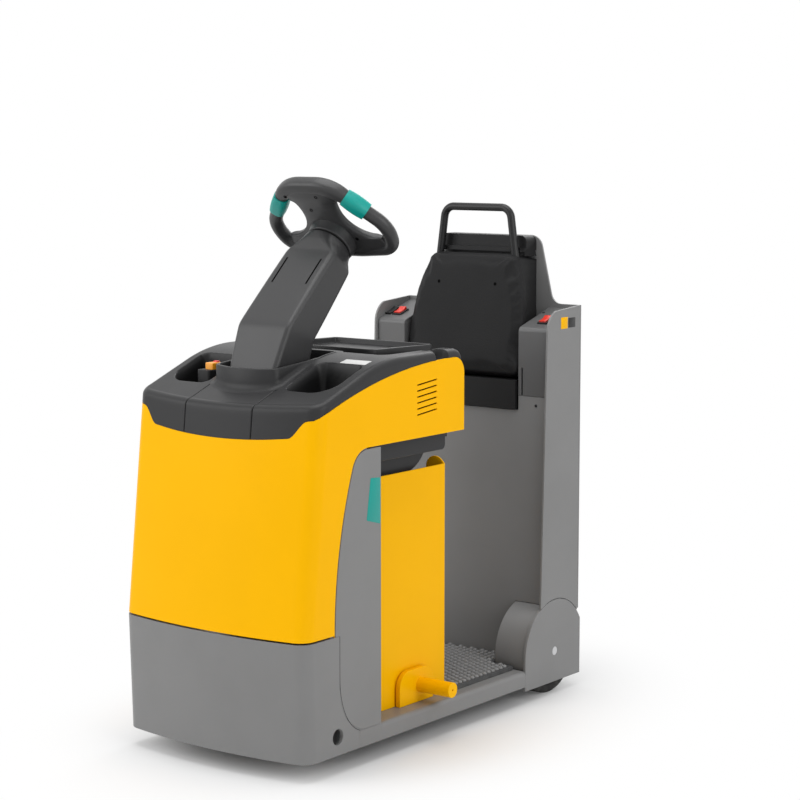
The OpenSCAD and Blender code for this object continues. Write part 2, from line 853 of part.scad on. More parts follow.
module bar_y_ring(x, z, r, bore, y, w, round_r) {
    translate([x, y, z]) rotate([-90, 0, 0]) rotate_extrude() polygon(concat(
        [[bore, -w / 2]], arc([r - round_r, round_r - w / 2], round_r, -90, 0, 5),
        arc([r - round_r, w / 2 - round_r], round_r, 0, 90, 5), [[bore, w / 2]]));
}

module rear_hub() {
    color(steel) translate([axle_x, wheel_y, wheel_r]) rotate([-90, 0, 0]) rotate_extrude() polygon([
        [axle_r + 0.05, -36], [30, -36], [34, -12], [80, -12], [80, -34], [87.9, -34], [87.9, 34], [80, 34],
        [80, 12], [34, 12], [30, 36], [axle_r + 0.05, 36]]);
}

/* Tow coupling */
jaw_z = 235;
jaw_x = -627;
jaw_r = 25;
pin_r = 10;

module coupling_jaw() {
    color(black) difference() {
        union() {
            translate([panel_x - plate - 6, -60, jaw_z - 70]) cube([6, 120, 140]);
            for (z = [-44, 28]) upward(jaw_z + z, jaw_z + z + 16) polygon(concat(
                [[panel_x - plate, 50]],
                arc([jaw_x, 0], jaw_r, 80, 280, 12),
                [[panel_x - plate, -50]]));
        }
        translate([jaw_x, 0, 0]) cylinder(r = pin_r + 0.1, h = 600);
    }
}

module coupling_pin() {
    color(steel) translate([jaw_x, 0, 0]) {
        translate([0, 0, jaw_z - 56]) cylinder(r = pin_r, h = 112);
        translate([0, 0, jaw_z + 44.3]) cylinder(r = 16, h = 12);
        translate([0, 0, jaw_z + 56]) cylinder(r = 6, h = 30);
        translate([0, 0, jaw_z + 86]) sphere(r = 16);
    }
}

/* Drive unit: bracket, turning fork with motor, wheel */
drive_top = 300;
pivot_r = 60;

module drive_bracket() {
    color(grey) difference() {
        translate([drive_x - 110, apron_wall - half_w, drive_top]) cube([220, body_w - 2 * apron_wall, 12]);
        translate([drive_x, 0, drive_top - 5]) cylinder(r = pivot_r + 0.05, h = 30);
    }
}

module drive_fork() {
    color(charcoal) {
        translate([drive_x, 0, drive_top - 22]) cylinder(r = pivot_r, h = 60);
        translate([drive_x, 0, drive_top + 12.3]) cylinder(r = pivot_r + 18, h = 14);
        translate([drive_x, 0, drive_top - 32]) cylinder(r = 95, h = 20);
        difference() {
            translate([drive_x - 60, 46, drive_r - 60]) cube([120, 34, drive_top - drive_r + 38]);
            bar_y(drive_x, drive_r, 15.05, 0, 100);
        }
    }
}

module drive_motor() {
    color(black) translate([drive_x, 0, drive_top + 38]) cylinder(r = 82, h = 220);
}

module drive_tyre() {
    color(rubber) bar_y_ring(drive_x, drive_r, drive_r, 84, 0, drive_w, 8);
}

module drive_hub() {
    color(steel) {
        translate([drive_x, 0, drive_r]) rotate([-90, 0, 0]) rotate_extrude() polygon([
            [0, -36], [83.9, -36], [83.9, 36], [40, 36], [40, 40], [15, 40], [15, 78], [0, 78]]);
    }
}

front_apron();
side_panel();  // side_panel_left
other_side() side_panel();  // side_panel_right
hood_shell();
top_cover_centre();
top_cover_side();  // top_cover_left
other_side() top_cover_side();  // top_cover_right
document_tray();
steering_column();
emergency_switch();
knee_tub();
release_tab();
battery_block();
battery_cover();  // battery_cover_left
other_side() battery_cover();  // battery_cover_right
both_sides() battery_lock();  // battery_locks
both_sides() sill();  // sills
floor_plate();
platform_mat();
rear_wall();
rear_panel();
both_sides() side_plate();  // side_plates
both_sides() column_cover();  // column_covers
rocker_switches();
backrest_housing();
backrest_pad();
grab_hoop();
fender();  // fender_left
other_side() fender();  // fender_right
rear_axles();
coupling_jaw();
coupling_pin();
drive_bracket();
drive_fork();
drive_motor();
drive_tyre();
drive_hub();
rear_tyre();  // rear_tyre_left
other_side() rear_tyre();  // rear_tyre_right
rear_hub();  // rear_hub_left
other_side() rear_hub();  // rear_hub_right
steering_wheel();
thumb_switches();
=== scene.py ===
"""Looks of a stand-on tow tractor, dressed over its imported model.

Metres in the scene, millimetres in the formulas. +X is forward, +Y is the vehicle's left, +Z is up and the
ground is z = 0.
"""
import json
import math

import bmesh
import bpy
import numpy as np
from mathutils import Matrix, Vector


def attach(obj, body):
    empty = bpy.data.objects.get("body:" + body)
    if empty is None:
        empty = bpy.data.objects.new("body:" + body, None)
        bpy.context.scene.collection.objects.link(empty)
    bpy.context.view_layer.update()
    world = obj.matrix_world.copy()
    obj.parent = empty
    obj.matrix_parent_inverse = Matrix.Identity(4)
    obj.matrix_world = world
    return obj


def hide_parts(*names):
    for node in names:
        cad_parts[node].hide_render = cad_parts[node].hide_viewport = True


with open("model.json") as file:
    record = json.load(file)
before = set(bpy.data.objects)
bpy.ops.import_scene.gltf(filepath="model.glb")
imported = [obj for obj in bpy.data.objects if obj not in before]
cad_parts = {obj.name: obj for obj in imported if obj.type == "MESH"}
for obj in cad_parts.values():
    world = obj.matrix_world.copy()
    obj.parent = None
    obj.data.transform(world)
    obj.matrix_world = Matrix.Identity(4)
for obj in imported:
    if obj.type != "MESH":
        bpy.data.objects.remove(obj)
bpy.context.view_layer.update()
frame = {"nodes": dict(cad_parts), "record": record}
nodes = frame["nodes"]


# The camera stands where the photograph was taken

CAMERA_AT = (4.4241, 3.4863, 1.5591)
CAMERA_YAW = math.radians(37.336)
CAMERA_PITCH = math.radians(7.149)
CAMERA_LENS = 95.826


def place_camera():
    """A camera that looks back along its yaw and down by its pitch, with no roll and no shift."""
    data = bpy.data.cameras.new("camera")
    data.lens = CAMERA_LENS
    data.sensor_width = 36.0
    data.clip_end = 60.0
    camera = bpy.data.objects.new("camera", data)
    bpy.context.scene.collection.objects.link(camera)
    turn = Matrix.Rotation(CAMERA_YAW + math.radians(90), 4, "Z")
    tip = Matrix.Rotation(math.radians(90) - CAMERA_PITCH, 4, "X")
    camera.matrix_world = Matrix.Translation(CAMERA_AT) @ turn @ tip
    bpy.context.scene.camera = camera


place_camera()


class Value:
    """One output in a material's node tree. Arithmetic on it adds Math nodes."""

    def __init__(self, finish, socket):
        self.finish = finish
        self.socket = socket

    def _math(self, operation, first, second):
        return self.finish.node("ShaderNodeMath", {"operation": operation}, {0: first, 1: second})

    def __add__(self, other):
        return self._math("ADD", self, other)

    def __radd__(self, other):
        return self._math("ADD", other, self)

    def __sub__(self, other):
        return self._math("SUBTRACT", self, other)

    def __rsub__(self, other):
        return self._math("SUBTRACT", other, self)

    def __mul__(self, other):
        return self._math("MULTIPLY", self, other)

    def __rmul__(self, other):
        return self._math("MULTIPLY", other, self)

    def above(self, low, high):
        """0 below low, 1 above high, and a smooth step between."""
        return self.finish.node(
            "ShaderNodeMapRange", {"interpolation_type": "SMOOTHSTEP", "clamp": True},
            {"Value": self, "From Min": low, "From Max": high, "To Min": 0.0, "To Max": 1.0})


class Finish:
    """A material built from nodes, with one Principled shader."""

    def __init__(self, name, colour, roughness=0.5, metallic=0.0, **sockets):
        self.name = name
        self.material = bpy.data.materials.new(name)
        self.material.use_nodes = True
        self.tree = self.material.node_tree
        self.shader = self.tree.nodes["Principled BSDF"]
        self.set("Base Color", (*colour, 1.0))
        self.set("Roughness", roughness)
        self.set("Metallic", metallic)
        for socket, value in sockets.items():
            self.set(socket.replace("_", " ").title().replace("Ior", "IOR"), value)

    def set(self, socket, value):
        """Feeds a socket of the shader with a number, a colour or another node's output."""
        self._feed(self.shader.inputs[socket], value)

    def _feed(self, target, value):
        if isinstance(value, Value):
            self.tree.links.new(value.socket, target)
        else:
            target.default_value = value

    def node(self, kind, settings, inputs, output=0):
        """Adds one node: its settings first, then the values or links of its sockets."""
        node = self.tree.nodes.new(kind)
        for name, value in settings.items():
            setattr(node, name, value)
        for name, value in inputs.items():
            self._feed(node.inputs[name], value)
        return Value(self, node.outputs[output])

    def place(self):
        """Object coordinates, in metres."""
        return self.node("ShaderNodeTexCoord", {}, {}, "Object")

    def part(self, axis):
        """One of the object coordinates, as a number."""
        return self.node("ShaderNodeSeparateXYZ", {}, {"Vector": self.place()}, axis)

    def noise(self, scale, detail=2.0, roughness=0.5):
        """Soft noise between 0 and 1, with scale in cells a metre."""
        return self.node("ShaderNodeTexNoise", {}, {
            "Vector": self.place(), "Scale": scale, "Detail": detail, "Roughness": roughness})

    def cells(self, scale, feature="F1"):
        """Distance to the nearest of scattered points, with scale in cells a metre."""
        return self.node("ShaderNodeTexVoronoi", {"feature": feature}, {
            "Vector": self.place(), "Scale": scale})

    def blend(self, factor, first, second):
        """A colour between two colours."""
        def colour(value):
            return value if isinstance(value, Value) else (*value, 1.0)
        return self.node("ShaderNodeMix", {"data_type": "RGBA"}, {
            0: factor, 6: colour(first), 7: colour(second)}, 2)

    def bump(self, height, distance):
        """Roughens the shader's normal by a height between 0 and 1, at a depth in metres."""
        self.set("Normal", self.node("ShaderNodeBump", {}, {
            "Height": height, "Distance": distance, "Strength": 1.0}))


def painted(name, colour, roughness, peel, wear=0.06, **sockets):
    """Sprayed paint: an orange-peel skin, a patchy gloss, and a tone that drifts by the wear."""
    finish = Finish(name, colour, roughness, **sockets)
    drift = finish.noise(6.0, 4.0)
    worn = tuple(channel * (1.0 - wear) for channel in colour)
    finish.set("Base Color", finish.blend(drift.above(0.35, 0.7), colour, worn))
    finish.set("Roughness", roughness - 0.06 + 0.12 * finish.noise(9.0, 3.0))
    finish.bump(finish.noise(700.0, 2.0), peel)
    return finish


def moulded(name, colour, roughness, grain, **sockets):
    """Moulded plastic: a fine spark-eroded grain, and a gloss rubbed up here and there."""
    finish = Finish(name, colour, roughness, **sockets)
    finish.set("Roughness", roughness - 0.05 + 0.1 * finish.noise(14.0, 3.0))
    finish.bump(finish.cells(900.0) * 0.6 + 0.4 * finish.noise(1800.0), grain)
    return finish


def pocket_shaded_plastic(name, colour, roughness, grain, **sockets):
    """Moulded plastic with painted shade: darker where a mesh's own pocket value says it lies deep in a pocket."""
    finish = moulded(name, colour, roughness, grain, **sockets)
    # The pocket value is painted shade: it darkens the colour towards a quarter of itself deep in a pocket.
    pocket = finish.node("ShaderNodeAttribute", {"attribute_name": "pocket"}, {}, "Fac")
    shade = tuple(0.25 * channel for channel in colour)
    finish.set("Base Color", finish.blend(pocket, colour, shade))
    return finish


def leather(name, colour, roughness, **sockets):
    """Grained leather cloth: pebbles with creases between them, and a faint sheen where the back rubs."""
    finish = Finish(name, colour, roughness, **sockets)
    pebble = finish.cells(420.0, "SMOOTH_F1")
    finish.set("Roughness", roughness - 0.08 + 0.16 * finish.noise(10.0, 3.0))
    finish.bump((1.0 - pebble) * 0.8 + 0.2 * finish.noise(1500.0), 0.0004)
    return finish


def rubber(name, colour, dust_and_shade, roughness, low, high):
    """Rubber with a second colour in noisy patches, full below the lower of two heights in metres and gone above the
    higher: a fine dusting on the mat and the tyres, and painted shade at the feet of the studs.
    """
    finish = Finish(name, colour, roughness, specular_ior_level=0.25)
    # Below the heights: a dusting on the mat and the tyres, painted shade on the studs' feet
    dust_and_shade_mask = (1.0 - finish.part("Z").above(low, high)) * finish.noise(30.0, 5.0, 0.6).above(0.3, 0.75)
    finish.set("Base Color", finish.blend(dust_and_shade_mask, colour, dust_and_shade))
    finish.set("Roughness", roughness - 0.06 + 0.14 * finish.noise(25.0, 4.0))
    finish.bump(finish.cells(700.0) * 0.5 + 0.5 * finish.noise(1300.0), 0.0004)
    return finish


def drawn_steel(name, colour, roughness):
    """Bare steel: fine lines along one direction, from noise stretched by scaling its coordinates."""
    finish = Finish(name, colour, roughness, metallic=1.0)
    stretched = finish.node("ShaderNodeVectorMath", {"operation": "MULTIPLY"}, {
        0: finish.place(), 1: (40.0, 900.0, 900.0)})
    lines = finish.node("ShaderNodeTexNoise", {}, {"Vector": stretched, "Scale": 1.0, "Detail": 3.0})
    finish.set("Roughness", roughness - 0.1 + 0.2 * lines)
    finish.bump(lines, 0.00003)
    return finish


YELLOW = (0.93, 0.47, 0.0)
GREY = (0.2, 0.2, 0.2)
CHARCOAL = (0.03, 0.03, 0.031)
BLACK = (0.014, 0.014, 0.0145)

FINISH = {finish.name: finish for finish in (
    painted("yellow_paint", YELLOW, 0.36, 0.00004, 0.02, specular_ior_level=0.06),
    painted("grey_paint", GREY, 0.42, 0.0001, 0.05, specular_ior_level=0.4),
    # charcoal, with painted shade deep in the pockets
    pocket_shaded_plastic("charcoal_plastic", CHARCOAL, 0.34, 0.00008, specular_ior_level=0.16),
    moulded("black_plastic", BLACK, 0.45, 0.0002, specular_ior_level=0.2),
    leather("pad_leather", BLACK, 0.55, specular_ior_level=0.12),
    painted("black_paint", (0.012, 0.012, 0.0125), 0.34, 0.00008, specular_ior_level=0.3),
    painted("battery_paint", CHARCOAL, 0.55, 0.00012, specular_ior_level=0.3),
    rubber("black_rubber", (0.06, 0.06, 0.061), (0.1, 0.099, 0.097), 0.6, 0.096, 0.106),
    # The studs' light grey is a painted highlight for their shine, darkened towards their feet as painted shade
    rubber("stud_rubber", (0.22, 0.22, 0.22), (0.1, 0.1, 0.1), 0.5, 0.102, 0.106),
    rubber("tyre", BLACK, (0.06, 0.057, 0.053), 0.75, 0.02, 0.2),
    drawn_steel("bare_steel", (0.56, 0.56, 0.57), 0.32),
    painted("cast_housing", (0.14, 0.14, 0.145), 0.55, 0.0004, 0.2, metallic=0.6),
    moulded("teal_plastic", (0.0, 0.29, 0.25), 0.36, 0.00008, specular_ior_level=0.35),
    moulded("red_plastic", (0.68, 0.035, 0.02), 0.3, 0.00005),
    moulded("orange_plastic", (0.88, 0.34, 0.008), 0.3, 0.00005),
    moulded("column_plastic", (0.095, 0.095, 0.096), 0.4, 0.00012, specular_ior_level=0.5),
    moulded("post_plastic", (0.036, 0.036, 0.037), 0.36, 0.0001, specular_ior_level=0.34),
    # Near-black: painted shade in the column's slits and behind the hood's vents, and the colour of some screws and
    # bolts
    moulded("dark_gap", (0.003, 0.003, 0.003), 0.85, 0.00008, specular_ior_level=0.02),
    painted("pale_label", (0.62, 0.62, 0.61), 0.4, 0.00002))}

slot_of = {row["node"]: row["material_slot"] for row in frame["record"]["subparts"]}
for name, node in nodes.items():
    node.data.materials.clear()
    node.data.materials.append(FINISH[slot_of[name]].material)


# Shared ways of making a surface. Points are in millimetres until the mesh is made.

WELD = 2e-5


class Skin:
    """Grids of points that grow into one mesh."""

    def __init__(self):
        self.points = []
        self.faces = []
        self.count = 0

    def add(self, grid, around=False, along=False, first=False, last=False):
        """Joins a grid of rows and columns by quads. around closes each row, along closes each column,
        and first and last cap the end rows."""
        grid = np.asarray(grid, float)
        rows, columns = grid.shape[:2]
        i = np.arange(rows if along else rows - 1)[:, None]
        j = np.arange(columns if around else columns - 1)[None, :]
        here, there = i * columns, (i + 1) % rows * columns
        ahead = (j + 1) % columns
        quads = np.stack([here + j, here + ahead, there + ahead, there + j], -1).reshape(-1, 4)
        self.faces += (quads + self.count).tolist()
        ring = np.arange(columns)
        if first:
            self.faces.append((ring[::-1] + self.count).tolist())
        if last:
            self.faces.append((ring + (rows - 1) * columns + self.count).tolist())
        self.points.append(grid.reshape(-1, 3))
        self.count += rows * columns

    def make(self, name, slot, body, stands_for=(), outward=None, crease=40.0):
        """The mesh, welded, faced outwards, smooth up to the crease angle, and riding on a body. outward is a
        direction that an open surface faces."""
        mesh = bpy.data.meshes.new(name)
        mesh.from_pydata((np.concatenate(self.points) * 0.001).tolist(), [], self.faces)
        return dress(name, mesh, slot, body, stands_for, outward, crease)


def dress(name, mesh, slot, body, stands_for=(), outward=None, crease=40.0, weld=WELD):
    """Puts a finished mesh in the scene as a piece."""
    work = bmesh.new()
    work.from_mesh(mesh)
    bmesh.ops.remove_doubles(work, verts=work.verts, dist=weld)
    bmesh.ops.recalc_face_normals(work, faces=work.faces)
    if outward is not None:
        facing = sum(f.calc_area() * f.normal.dot(Vector(outward)) for f in work.faces)
        if facing < 0:
            bmesh.ops.reverse_faces(work, faces=work.faces)
    for face in work.faces:
        face.smooth = True
    for edge in work.edges:
        edge.smooth = edge.calc_face_angle(0.0) < math.radians(crease)
    work.to_mesh(mesh)
    work.free()
    piece = bpy.data.objects.new(name, mesh)
    bpy.context.scene.collection.objects.link(piece)
    mesh.materials.clear()
    mesh.materials.append(FINISH[slot].material)
    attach(piece, body)
    slot in slot_of.values()
    if stands_for:
        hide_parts(*stands_for)
    return piece


def points_of(mesh):
    """All points of a mesh as an array of rows, in metres."""
    flat = np.empty(len(mesh.vertices) * 3)
    mesh.vertices.foreach_get("co", flat)
    return flat.reshape(-1, 3)


def soften(node, width, body="chassis", slot=None, shape=None):
    """A copy of a node's solid, with its corners merged and its edges rounded by a width in millimetres. shape is
    a function that moves the corners first."""
    work = bmesh.new()
    work.from_mesh(nodes[node].data)
    bmesh.ops.remove_doubles(work, verts=work.verts, dist=WELD)
    bmesh.ops.dissolve_limit(work, angle_limit=math.radians(0.6), verts=work.verts, edges=work.edges)
    mesh = bpy.data.meshes.new(node + "_skin")
    work.to_mesh(mesh)
    work.free()
    if shape:
        mesh.vertices.foreach_set("co", shape(points_of(mesh) * 1000.0).ravel() * 0.001)
    piece = dress(node + "_skin", mesh, slot or slot_of[node], body, (node,), crease=180.0, weld=1e-6)
    bevel = piece.modifiers.new("rounded_edges", "BEVEL")
    bevel.width = width * 0.001
    bevel.segments = 2
    bevel.limit_method = "ANGLE"
    bevel.angle_limit = math.radians(32)
    even_out = piece.modifiers.new("flat_faces", "WEIGHTED_NORMAL")
    even_out.keep_sharp = False
    return piece


def ease(t):
    """A smooth step from 0 to 1."""
    t = np.clip(t, 0.0, 1.0)
    return t * t * (3.0 - 2.0 * t)


def turn(count, start=0.0, end=90.0):
    """Angles in radians, evenly spaced from start to end in degrees."""
    return np.radians(np.linspace(start, end, count))


def circle(count):
    """Angles in radians, evenly spaced round a full turn."""
    return np.linspace(0, 2 * np.pi, count, endpoint=False)


def arc(centre, radius, angles):
    """Points on a flat circle, or on an ellipse where the radius is a pair."""
    return np.asarray(centre) + radius * np.stack([np.cos(angles), np.sin(angles)], -1)


def squared(wave, power):
    """A sine or cosine with its size raised to a power, which makes a round section squarer below 1."""
    return np.sign(wave) * np.abs(wave) ** power


def round_loop(corners, radii, steps=10):
    """A closed flat path of straight lengths and round corners. Each corner's arc is centred on its bisector,
    at the radius over the sine of half the corner's angle."""
    corners, radii = np.asarray(corners, float), np.asarray(radii, float)[:, None]
    back = np.roll(corners, 1, 0) - corners
    ahead = np.roll(corners, -1, 0) - corners
    back /= np.linalg.norm(back, axis=1)[:, None]
    ahead /= np.linalg.norm(ahead, axis=1)[:, None]
    half = np.arccos(np.clip((back * ahead).sum(1), -1, 1))[:, None] / 2
    bisector = back + ahead
    bisector /= np.linalg.norm(bisector, axis=1)[:, None]
    centre = corners + bisector * radii / np.sin(half)
    start = corners + back * radii / np.tan(half) - centre
    end = corners + ahead * radii / np.tan(half) - centre
    angle = np.arctan2(start[:, 1], start[:, 0])[:, None]
    sweep = (np.arctan2(end[:, 1], end[:, 0])[:, None] - angle + np.pi) % (2 * np.pi) - np.pi
    angle = angle + sweep * np.linspace(0, 1, steps)
    return (centre[:, None] + radii[:, :, None] * np.stack([np.cos(angle), np.sin(angle)], -1)).reshape(-1, 2)


def even(path, count, closed=True):
    """The same path with its points at equal steps of length."""
    whole = np.vstack([path, path[:1]]) if closed else np.asarray(path, float)
    run = np.concatenate([[0], np.cumsum(np.linalg.norm(np.diff(whole, axis=0), axis=1))])
    at = np.linspace(0, run[-1], count, endpoint=not closed)
    return np.stack([np.interp(at, run, whole[:, k]) for k in range(whole.shape[1])], -1)


def heading(path, closed=True):
    """Unit tangents of a path."""
    if closed:
        step = np.roll(path, -1, 0) - np.roll(path, 1, 0)
    else:
        step = np.gradient(path, axis=0)
    return step / np.linalg.norm(step, axis=1)[:, None]


def band(loop, profile):
    """A profile carried along a closed flat loop that runs anticlockwise: each point of the profile is a
    distance outside the loop, and a height that may follow the place."""
    along = heading(loop)
    out = np.stack([along[:, 1], -along[:, 0]], -1)
    rows = []
    for distance, height in profile:
        flat = loop + out * distance
        z = height(flat[:, 0], flat[:, 1]) if callable(height) else np.full(len(loop), float(height))
        rows.append(np.column_stack([flat, z]))
    return np.stack(rows)


def over(surface, steps):
    """The steps of a profile with their heights counted from a surface."""
    return [(distance, lambda x, y, h=h: surface(x, y) + h) for distance, h in steps]


def tube(path, radius, up, sides=24, closed=True, square=1.0):
    """A round section carried along a path: a circle across the tangent, turned from the up direction, whose
    sine and cosine are raised to a power below 1 where it is squarer."""
    path = np.asarray(path, float)
    along = heading(path, closed)
    up = np.broadcast_to(np.asarray(up, float), path.shape)
    side = np.cross(along, up)
    side /= np.linalg.norm(side, axis=1)[:, None]
    up = np.cross(side, along)
    f = circle(sides)
    radius = np.broadcast_to(np.asarray(radius, float), (len(path),))[:, None, None]
    square = np.broadcast_to(np.asarray(square, float), (len(path),))[:, None]
    wide, tall = squared(np.cos(f), square), squared(np.sin(f), square)
    return path[:, None] + radius * (wide[..., None] * side[:, None] + tall[..., None] * up[:, None])


def revolve(profile, at, axis, sides=64):
    """A profile of (distance along the axis, radius) turned about an axis through a point."""
    profile = np.asarray(profile, float)
    axis = np.asarray(axis, float) / np.linalg.norm(axis)
    first = np.cross(axis, (0.0, 0.0, 1.0) if abs(axis[2]) < 0.9 else (1.0, 0.0, 0.0))
    first /= np.linalg.norm(first)
    second = np.cross(axis, first)
    f = circle(sides)
    ring = np.cos(f)[:, None] * first + np.sin(f)[:, None] * second
    return np.asarray(at, float) + profile[:, :1, None] * axis + profile[:, 1:, None] * ring


# Top cover: three crowned mouldings with seams, pockets, a seat for the tray and a collar

# The front leans back, and the cover's outer edge is rounded
LEAN = math.tan(math.radians(6.4))
UPRIGHT = math.cos(math.radians(6.4))
EDGE = 17.0
REAR = 7.0
# Seams between the mouldings, and the columns of points beside them
SEAM, SEAM_GAP, SEAM_ROLL, SEAM_DEPTH = 108.0, 0.8, 2.5, 12.0
SEAM_STEPS = SEAM_GAP + np.array([0.0, 0.3, 0.8, 1.6, 2.6, 4.0])
# The body's plan: a bow with a round corner at each end, and the foot of the leaning front
BOW, BOW_CENTRE = 1450.0, -798.0
CORNER, CORNER_RADIUS = (586.16, 258.0), 42.0
FRONT_FOOT = (652.0, 345.0)
# The crown: level, an arc and a slope
CROWN_TOP, CROWN_ARC, ARC_FROM, ARC_TO = 1009.0, 477.0, 215.0, 385.5
SLOPE_TOP, SLOPE = 977.5, 0.3829
# The hood's top edge along the side, and its dip across the front
HOOD_TOP, HOOD_ARC, HOOD_CORNER = 988.0, 1460.0, 42.0
DIP_LOW, DIP_ARC, S_FROM, S_TO = 820.0, 1810.0, 216.0, 268.0
DIP_TAIL = ([268.0, 281.0, 291.8, 297.0, 300.0], [877.5, 879.0, 885.5, 892.0, 898.0])
# Rectangles with round corners: centre, half sizes and radii
POCKET = ((417.5, 196.0), (72.5, 66.0), (56.0, 20.0, 18.0, 18.0))
TRAY_SEAT = ((18.0, 0.0), (218.0, 246.0), (24.0,) * 4)
GRIP = ((70.0, 300.0), (25.0, 48.0), (8.0,) * 4)
# Forms pressed into the cover: a rectangle, the floor's height, and where and how fast the wall steps down
PRESSED = ((TRAY_SEAT, 986.0, 7.0, 15.0), (POCKET, 911.0, 5.0, 13.0), (GRIP, 984.0, 3.0, 8.0))
# The collar's plan, and the fillet at its foot
COLLAR_AT, COLLAR_BOW, COLLAR_HALF, COLLAR_REAR = 296.0, 216.0, 102.0, 242.0
COLLAR_TURN = 23.77
FILLET = 16.0


def on_bow(y, inset):
    """Whether a half width lies on the bow of the body's plan, and not on its corner."""
    return np.abs(y) < CORNER[1] * (BOW - inset) / (BOW - CORNER_RADIUS)


def nose(y, inset):
    """Front of the body's plan at a half width: a bow of radius 1450, and corners of 42 centred at 586, 258."""
    y = np.abs(y)
    bow = BOW_CENTRE + np.sqrt((BOW - inset) ** 2 - y ** 2)
    corner = CORNER[0] + np.sqrt(np.maximum((CORNER_RADIUS - inset) ** 2 - (y - CORNER[1]) ** 2, 0.0))
    return np.where(on_bow(y, inset), bow, corner)


def nose_normal(y, inset):
    """Outward direction of the plan at a half width: away from the bow's centre or the corner's."""
    corner = np.stack([np.full_like(y, CORNER[0]), np.sign(y) * CORNER[1]], -1)
    centre = np.where(on_bow(y, inset)[:, None], (BOW_CENTRE, 0.0), corner)
    out = np.stack([nose(y, inset), y], -1) - centre
    return out / np.linalg.norm(out, axis=1)[:, None]


def crown(x):
    """Height of the crown: level, then an arc of radius 477, then a straight slope to the crest."""
    arched = CROWN_TOP - CROWN_ARC + np.sqrt(np.maximum(CROWN_ARC ** 2 - (x - ARC_FROM) ** 2, 0.0))
    slope = SLOPE_TOP - SLOPE * (x - ARC_TO)
    return np.where(x < ARC_FROM, CROWN_TOP, np.where(x < ARC_TO, arched, slope))


def front_edge(y):
    """Where the crown meets the rounding of the leaning front, found by going back and forth a few times."""
    z = np.full_like(y, 902.0)
    for _ in range(6):
        x = FRONT_FOOT[0] + (nose(y, EDGE) - FRONT_FOOT[0]) / UPRIGHT - (z - FRONT_FOOT[1]) * LEAN
        z = crown(x)
    return x


def hood_edge(x):
    """Top edge of the hood's side: a corner of 42, level at 988, then an arc of 1460 down to the nose."""
    fall = HOOD_TOP - HOOD_ARC + np.sqrt(HOOD_ARC ** 2 - np.maximum(x - 20.0, 0.0) ** 2)
    corner = HOOD_TOP - HOOD_CORNER + np.sqrt(np.maximum(HOOD_CORNER ** 2 - (x - 15.0) ** 2, 0.0))
    return np.where(x < 15.0, corner, fall)


def hood_dip(y):
    """Top edge of the hood's front: an arc of 1810 from the middle, an S, and a turn up into the side."""
    y = np.abs(y)
    arched = DIP_LOW + DIP_ARC - np.sqrt(DIP_ARC ** 2 - y ** 2)
    rise = 832.93 + 44.57 * ease((y - S_FROM) / (S_TO - S_FROM))
    return np.where(y < S_FROM, arched, np.where(y < S_TO, rise, np.interp(y, *DIP_TAIL)))


def outside(x, y, centre, half, radii):
    """Distance outside a rectangle with round corners, given as front left, front right, rear right, rear left."""
    dx, dy = x - centre[0], y - centre[1]
    r = np.where(dx > 0, np.where(dy > 0, radii[0], radii[1]), np.where(dy > 0, radii[3], radii[2]))
    qx, qy = np.abs(dx) - half[0] + r, np.abs(dy) - half[1] + r
    return np.minimum(np.maximum(qx, qy), 0.0) + np.hypot(np.maximum(qx, 0.0), np.maximum(qy, 0.0)) - r


def collar_loop():
    """Plan of the collar: a bowed front of radius 216, corners of 25 and a square rear, anticlockwise."""
    front = arc((COLLAR_AT, 0.0), COLLAR_BOW, turn(30, -COLLAR_TURN, COLLAR_TURN))
    left = arc((470.8, COLLAR_HALF - 25.0), 25.0, turn(10, COLLAR_TURN, 90.0))
    rear = arc((COLLAR_REAR + 12.0, COLLAR_HALF - 12.0), 12.0, turn(6, 90.0, 180.0))
    half = np.vstack([left, rear])
    return even(np.vstack([front, half, half[::-1] * (1, -1)]), 240)


def collar_distance(x, y):
    """Distance outside the collar's plan, rounded where its sides meet."""
    sides = np.stack([np.hypot(x - COLLAR_AT, y) - COLLAR_BOW, np.abs(y) - COLLAR_HALF, COLLAR_REAR - x])
    return 10.0 * np.log(np.exp(np.clip(sides / 10.0, -40, 40)).sum(0))


def collar_rim(x, y):
    """Height of the collar's rim, which falls towards the front and never sinks below the crown."""
    return np.maximum(1006.0 - 0.0852 * (x - COLLAR_REAR), crown(x) + 1.5)


def cover_height(x, y):
    """Height of the cover: the crown with a pocket, the tray's seat and a grip pressed in by smooth steps."""
    y = np.abs(y)
    z = crown(x)
    for form, floor, lip, run in PRESSED:
        z = z + (floor - z) * ease((lip - outside(x, y, *form)) / run)
    return np.where(y < SEAM, z + (918.0 - z) * ease((-2.0 - collar_distance(x, y)) / 6.0), z)


def collar(skin):
    """The collar: a fillet up from the crown, which fades where the rim comes low, a rounded rim, and a wall and
    floor inside, all carried round its plan."""
    def fillet(part):
        return lambda x, y: crown(x) + part * np.clip((collar_rim(x, y) - crown(x) - 2.0) / FILLET, 0, 1)

    profile = [(FILLET - FILLET * math.sin(k), fillet(FILLET - FILLET * math.cos(k))) for k in turn(7)]
    profile += over(collar_rim, [
        (0.0, -2.6), (-0.8, -0.8), (-2.6, 0.0), (-6.4, 0.0), (-8.2, -0.8), (-9.0, -2.6), (-9.6, -14.0)])
    profile += [(-12.0, 932.0), (-15.0, 927.0), (-40.0, 925.0)]
    skin.add(band(collar_loop(), profile), around=True)


